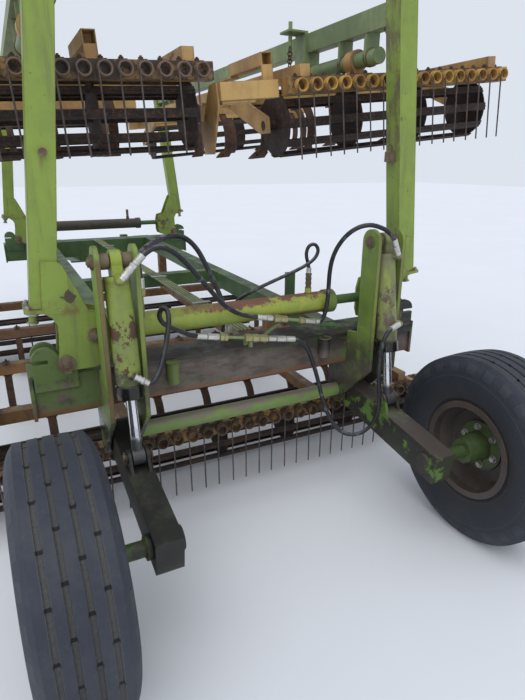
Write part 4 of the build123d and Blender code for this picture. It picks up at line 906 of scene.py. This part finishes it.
def roller_slats(name, place, half):
    """Flat slats round both cage rollers of a section."""
    for roller, ahead in ROLLERS.items():
        slats = shapes(f"{roller}_{name}", "roller")
        for index in range(SLATS):
            turned = (place @ Matrix.Translation((0, AXLE_Y + ahead, -ROLLER_DROP))
                      @ Matrix.Rotation(2 * math.pi * index / SLATS, 4, "X"))
            slab(slats, (0, SLAT_REACH, 0), (2 * half - 0.1, 0.005, 0.042), turned)


def tine_clamps(name, body, place, half):
    """Clamp plates with two bolts over the spring tines, in three staggered rows."""
    upward = place.to_3x3() @ Vector(ALONG_Z)
    count = int((2 * half - 0.12) / TINE_PITCH)
    for row, ahead in enumerate(TINE_ROWS):
        y = AXLE_Y + ahead + CLAMP_AHEAD
        for index in range(count):
            along = TINE_PITCH * (index - (count - 1) / 2) + ROW_SHIFT * (row - 1)
            if has_room(name, along):
                slab(shapes(body, "chain"), (along, y, 0.0405), (0.05, 0.09, 0.006), place)
                for dy in (-0.03, 0.03):
                    spot = place @ Vector((along, y + dy, 0.0435))
                    bolt(shapes(body, "chain"), spot, upward, 0.018, 0.01, 0.008)


random.seed(5)
for name, body, x, height, shift, drop, tilt, coils, half in SECTIONS:
    place = (Matrix.Translation((x, 0, GROUND_Z + height)) @ Matrix.Rotation(math.radians(tilt), 4, "Y")
             @ Matrix.Translation((shift, 0, -drop)))
    harrow(name, body, place, half, coils)
    roller_slats(name, place, half)
    tine_clamps(name, body, place, half)

for (body, finish), mesh in gathered.items():
    piece(f"{body}_{finish}_hardware", mesh, body, finish)

# Floor and light
FLOOR_REACH = 40
floor_mesh = bpy.data.meshes.new("floor")
corners = [(x * FLOOR_REACH, y * FLOOR_REACH, 0) for x, y in ((-1, -1), (1, -1), (1, 1), (-1, 1))]
floor_mesh.from_pydata(corners, [], [(0, 1, 2, 3)])
floor = bpy.data.objects.new("floor", floor_mesh)
floor.location = (0, AXLE_Y / 2, GROUND_Z)
bpy.context.scene.collection.objects.link(floor)
plain = Shader("pale_floor")
pale = plain.mix(plain.noise(0.7, 3), (0.8, 0.81, 0.84), (0.74, 0.75, 0.78))
floor_mesh.materials.append(plain.finish(pale, 0.9))

world = bpy.data.worlds.new("overcast")
bpy.context.scene.world = world
world.use_nodes = True
world.node_tree.nodes["Background"].inputs["Color"].default_value = (0.80, 0.86, 0.95, 1)
world.node_tree.nodes["Background"].inputs["Strength"].default_value = 0.9


def sun(name, energy, angle, azimuth, elevation):
    """Soft sun from an azimuth, clockwise from +Y, and an elevation."""
    data = bpy.data.lights.new(name, "SUN")
    data.energy = energy
    data.angle = math.radians(angle)
    lamp = bpy.data.objects.new(name, data)
    a, e = math.radians(azimuth), math.radians(elevation)
    source = Vector((math.sin(a) * math.cos(e), math.cos(a) * math.cos(e), math.sin(e)))
    lamp.rotation_euler = source.to_track_quat("Z", "Y").to_euler()
    bpy.context.scene.collection.objects.link(lamp)


sun("sky_light", 1.1, 60, 215, 58)
bpy.context.scene.view_settings.view_transform = "Standard"
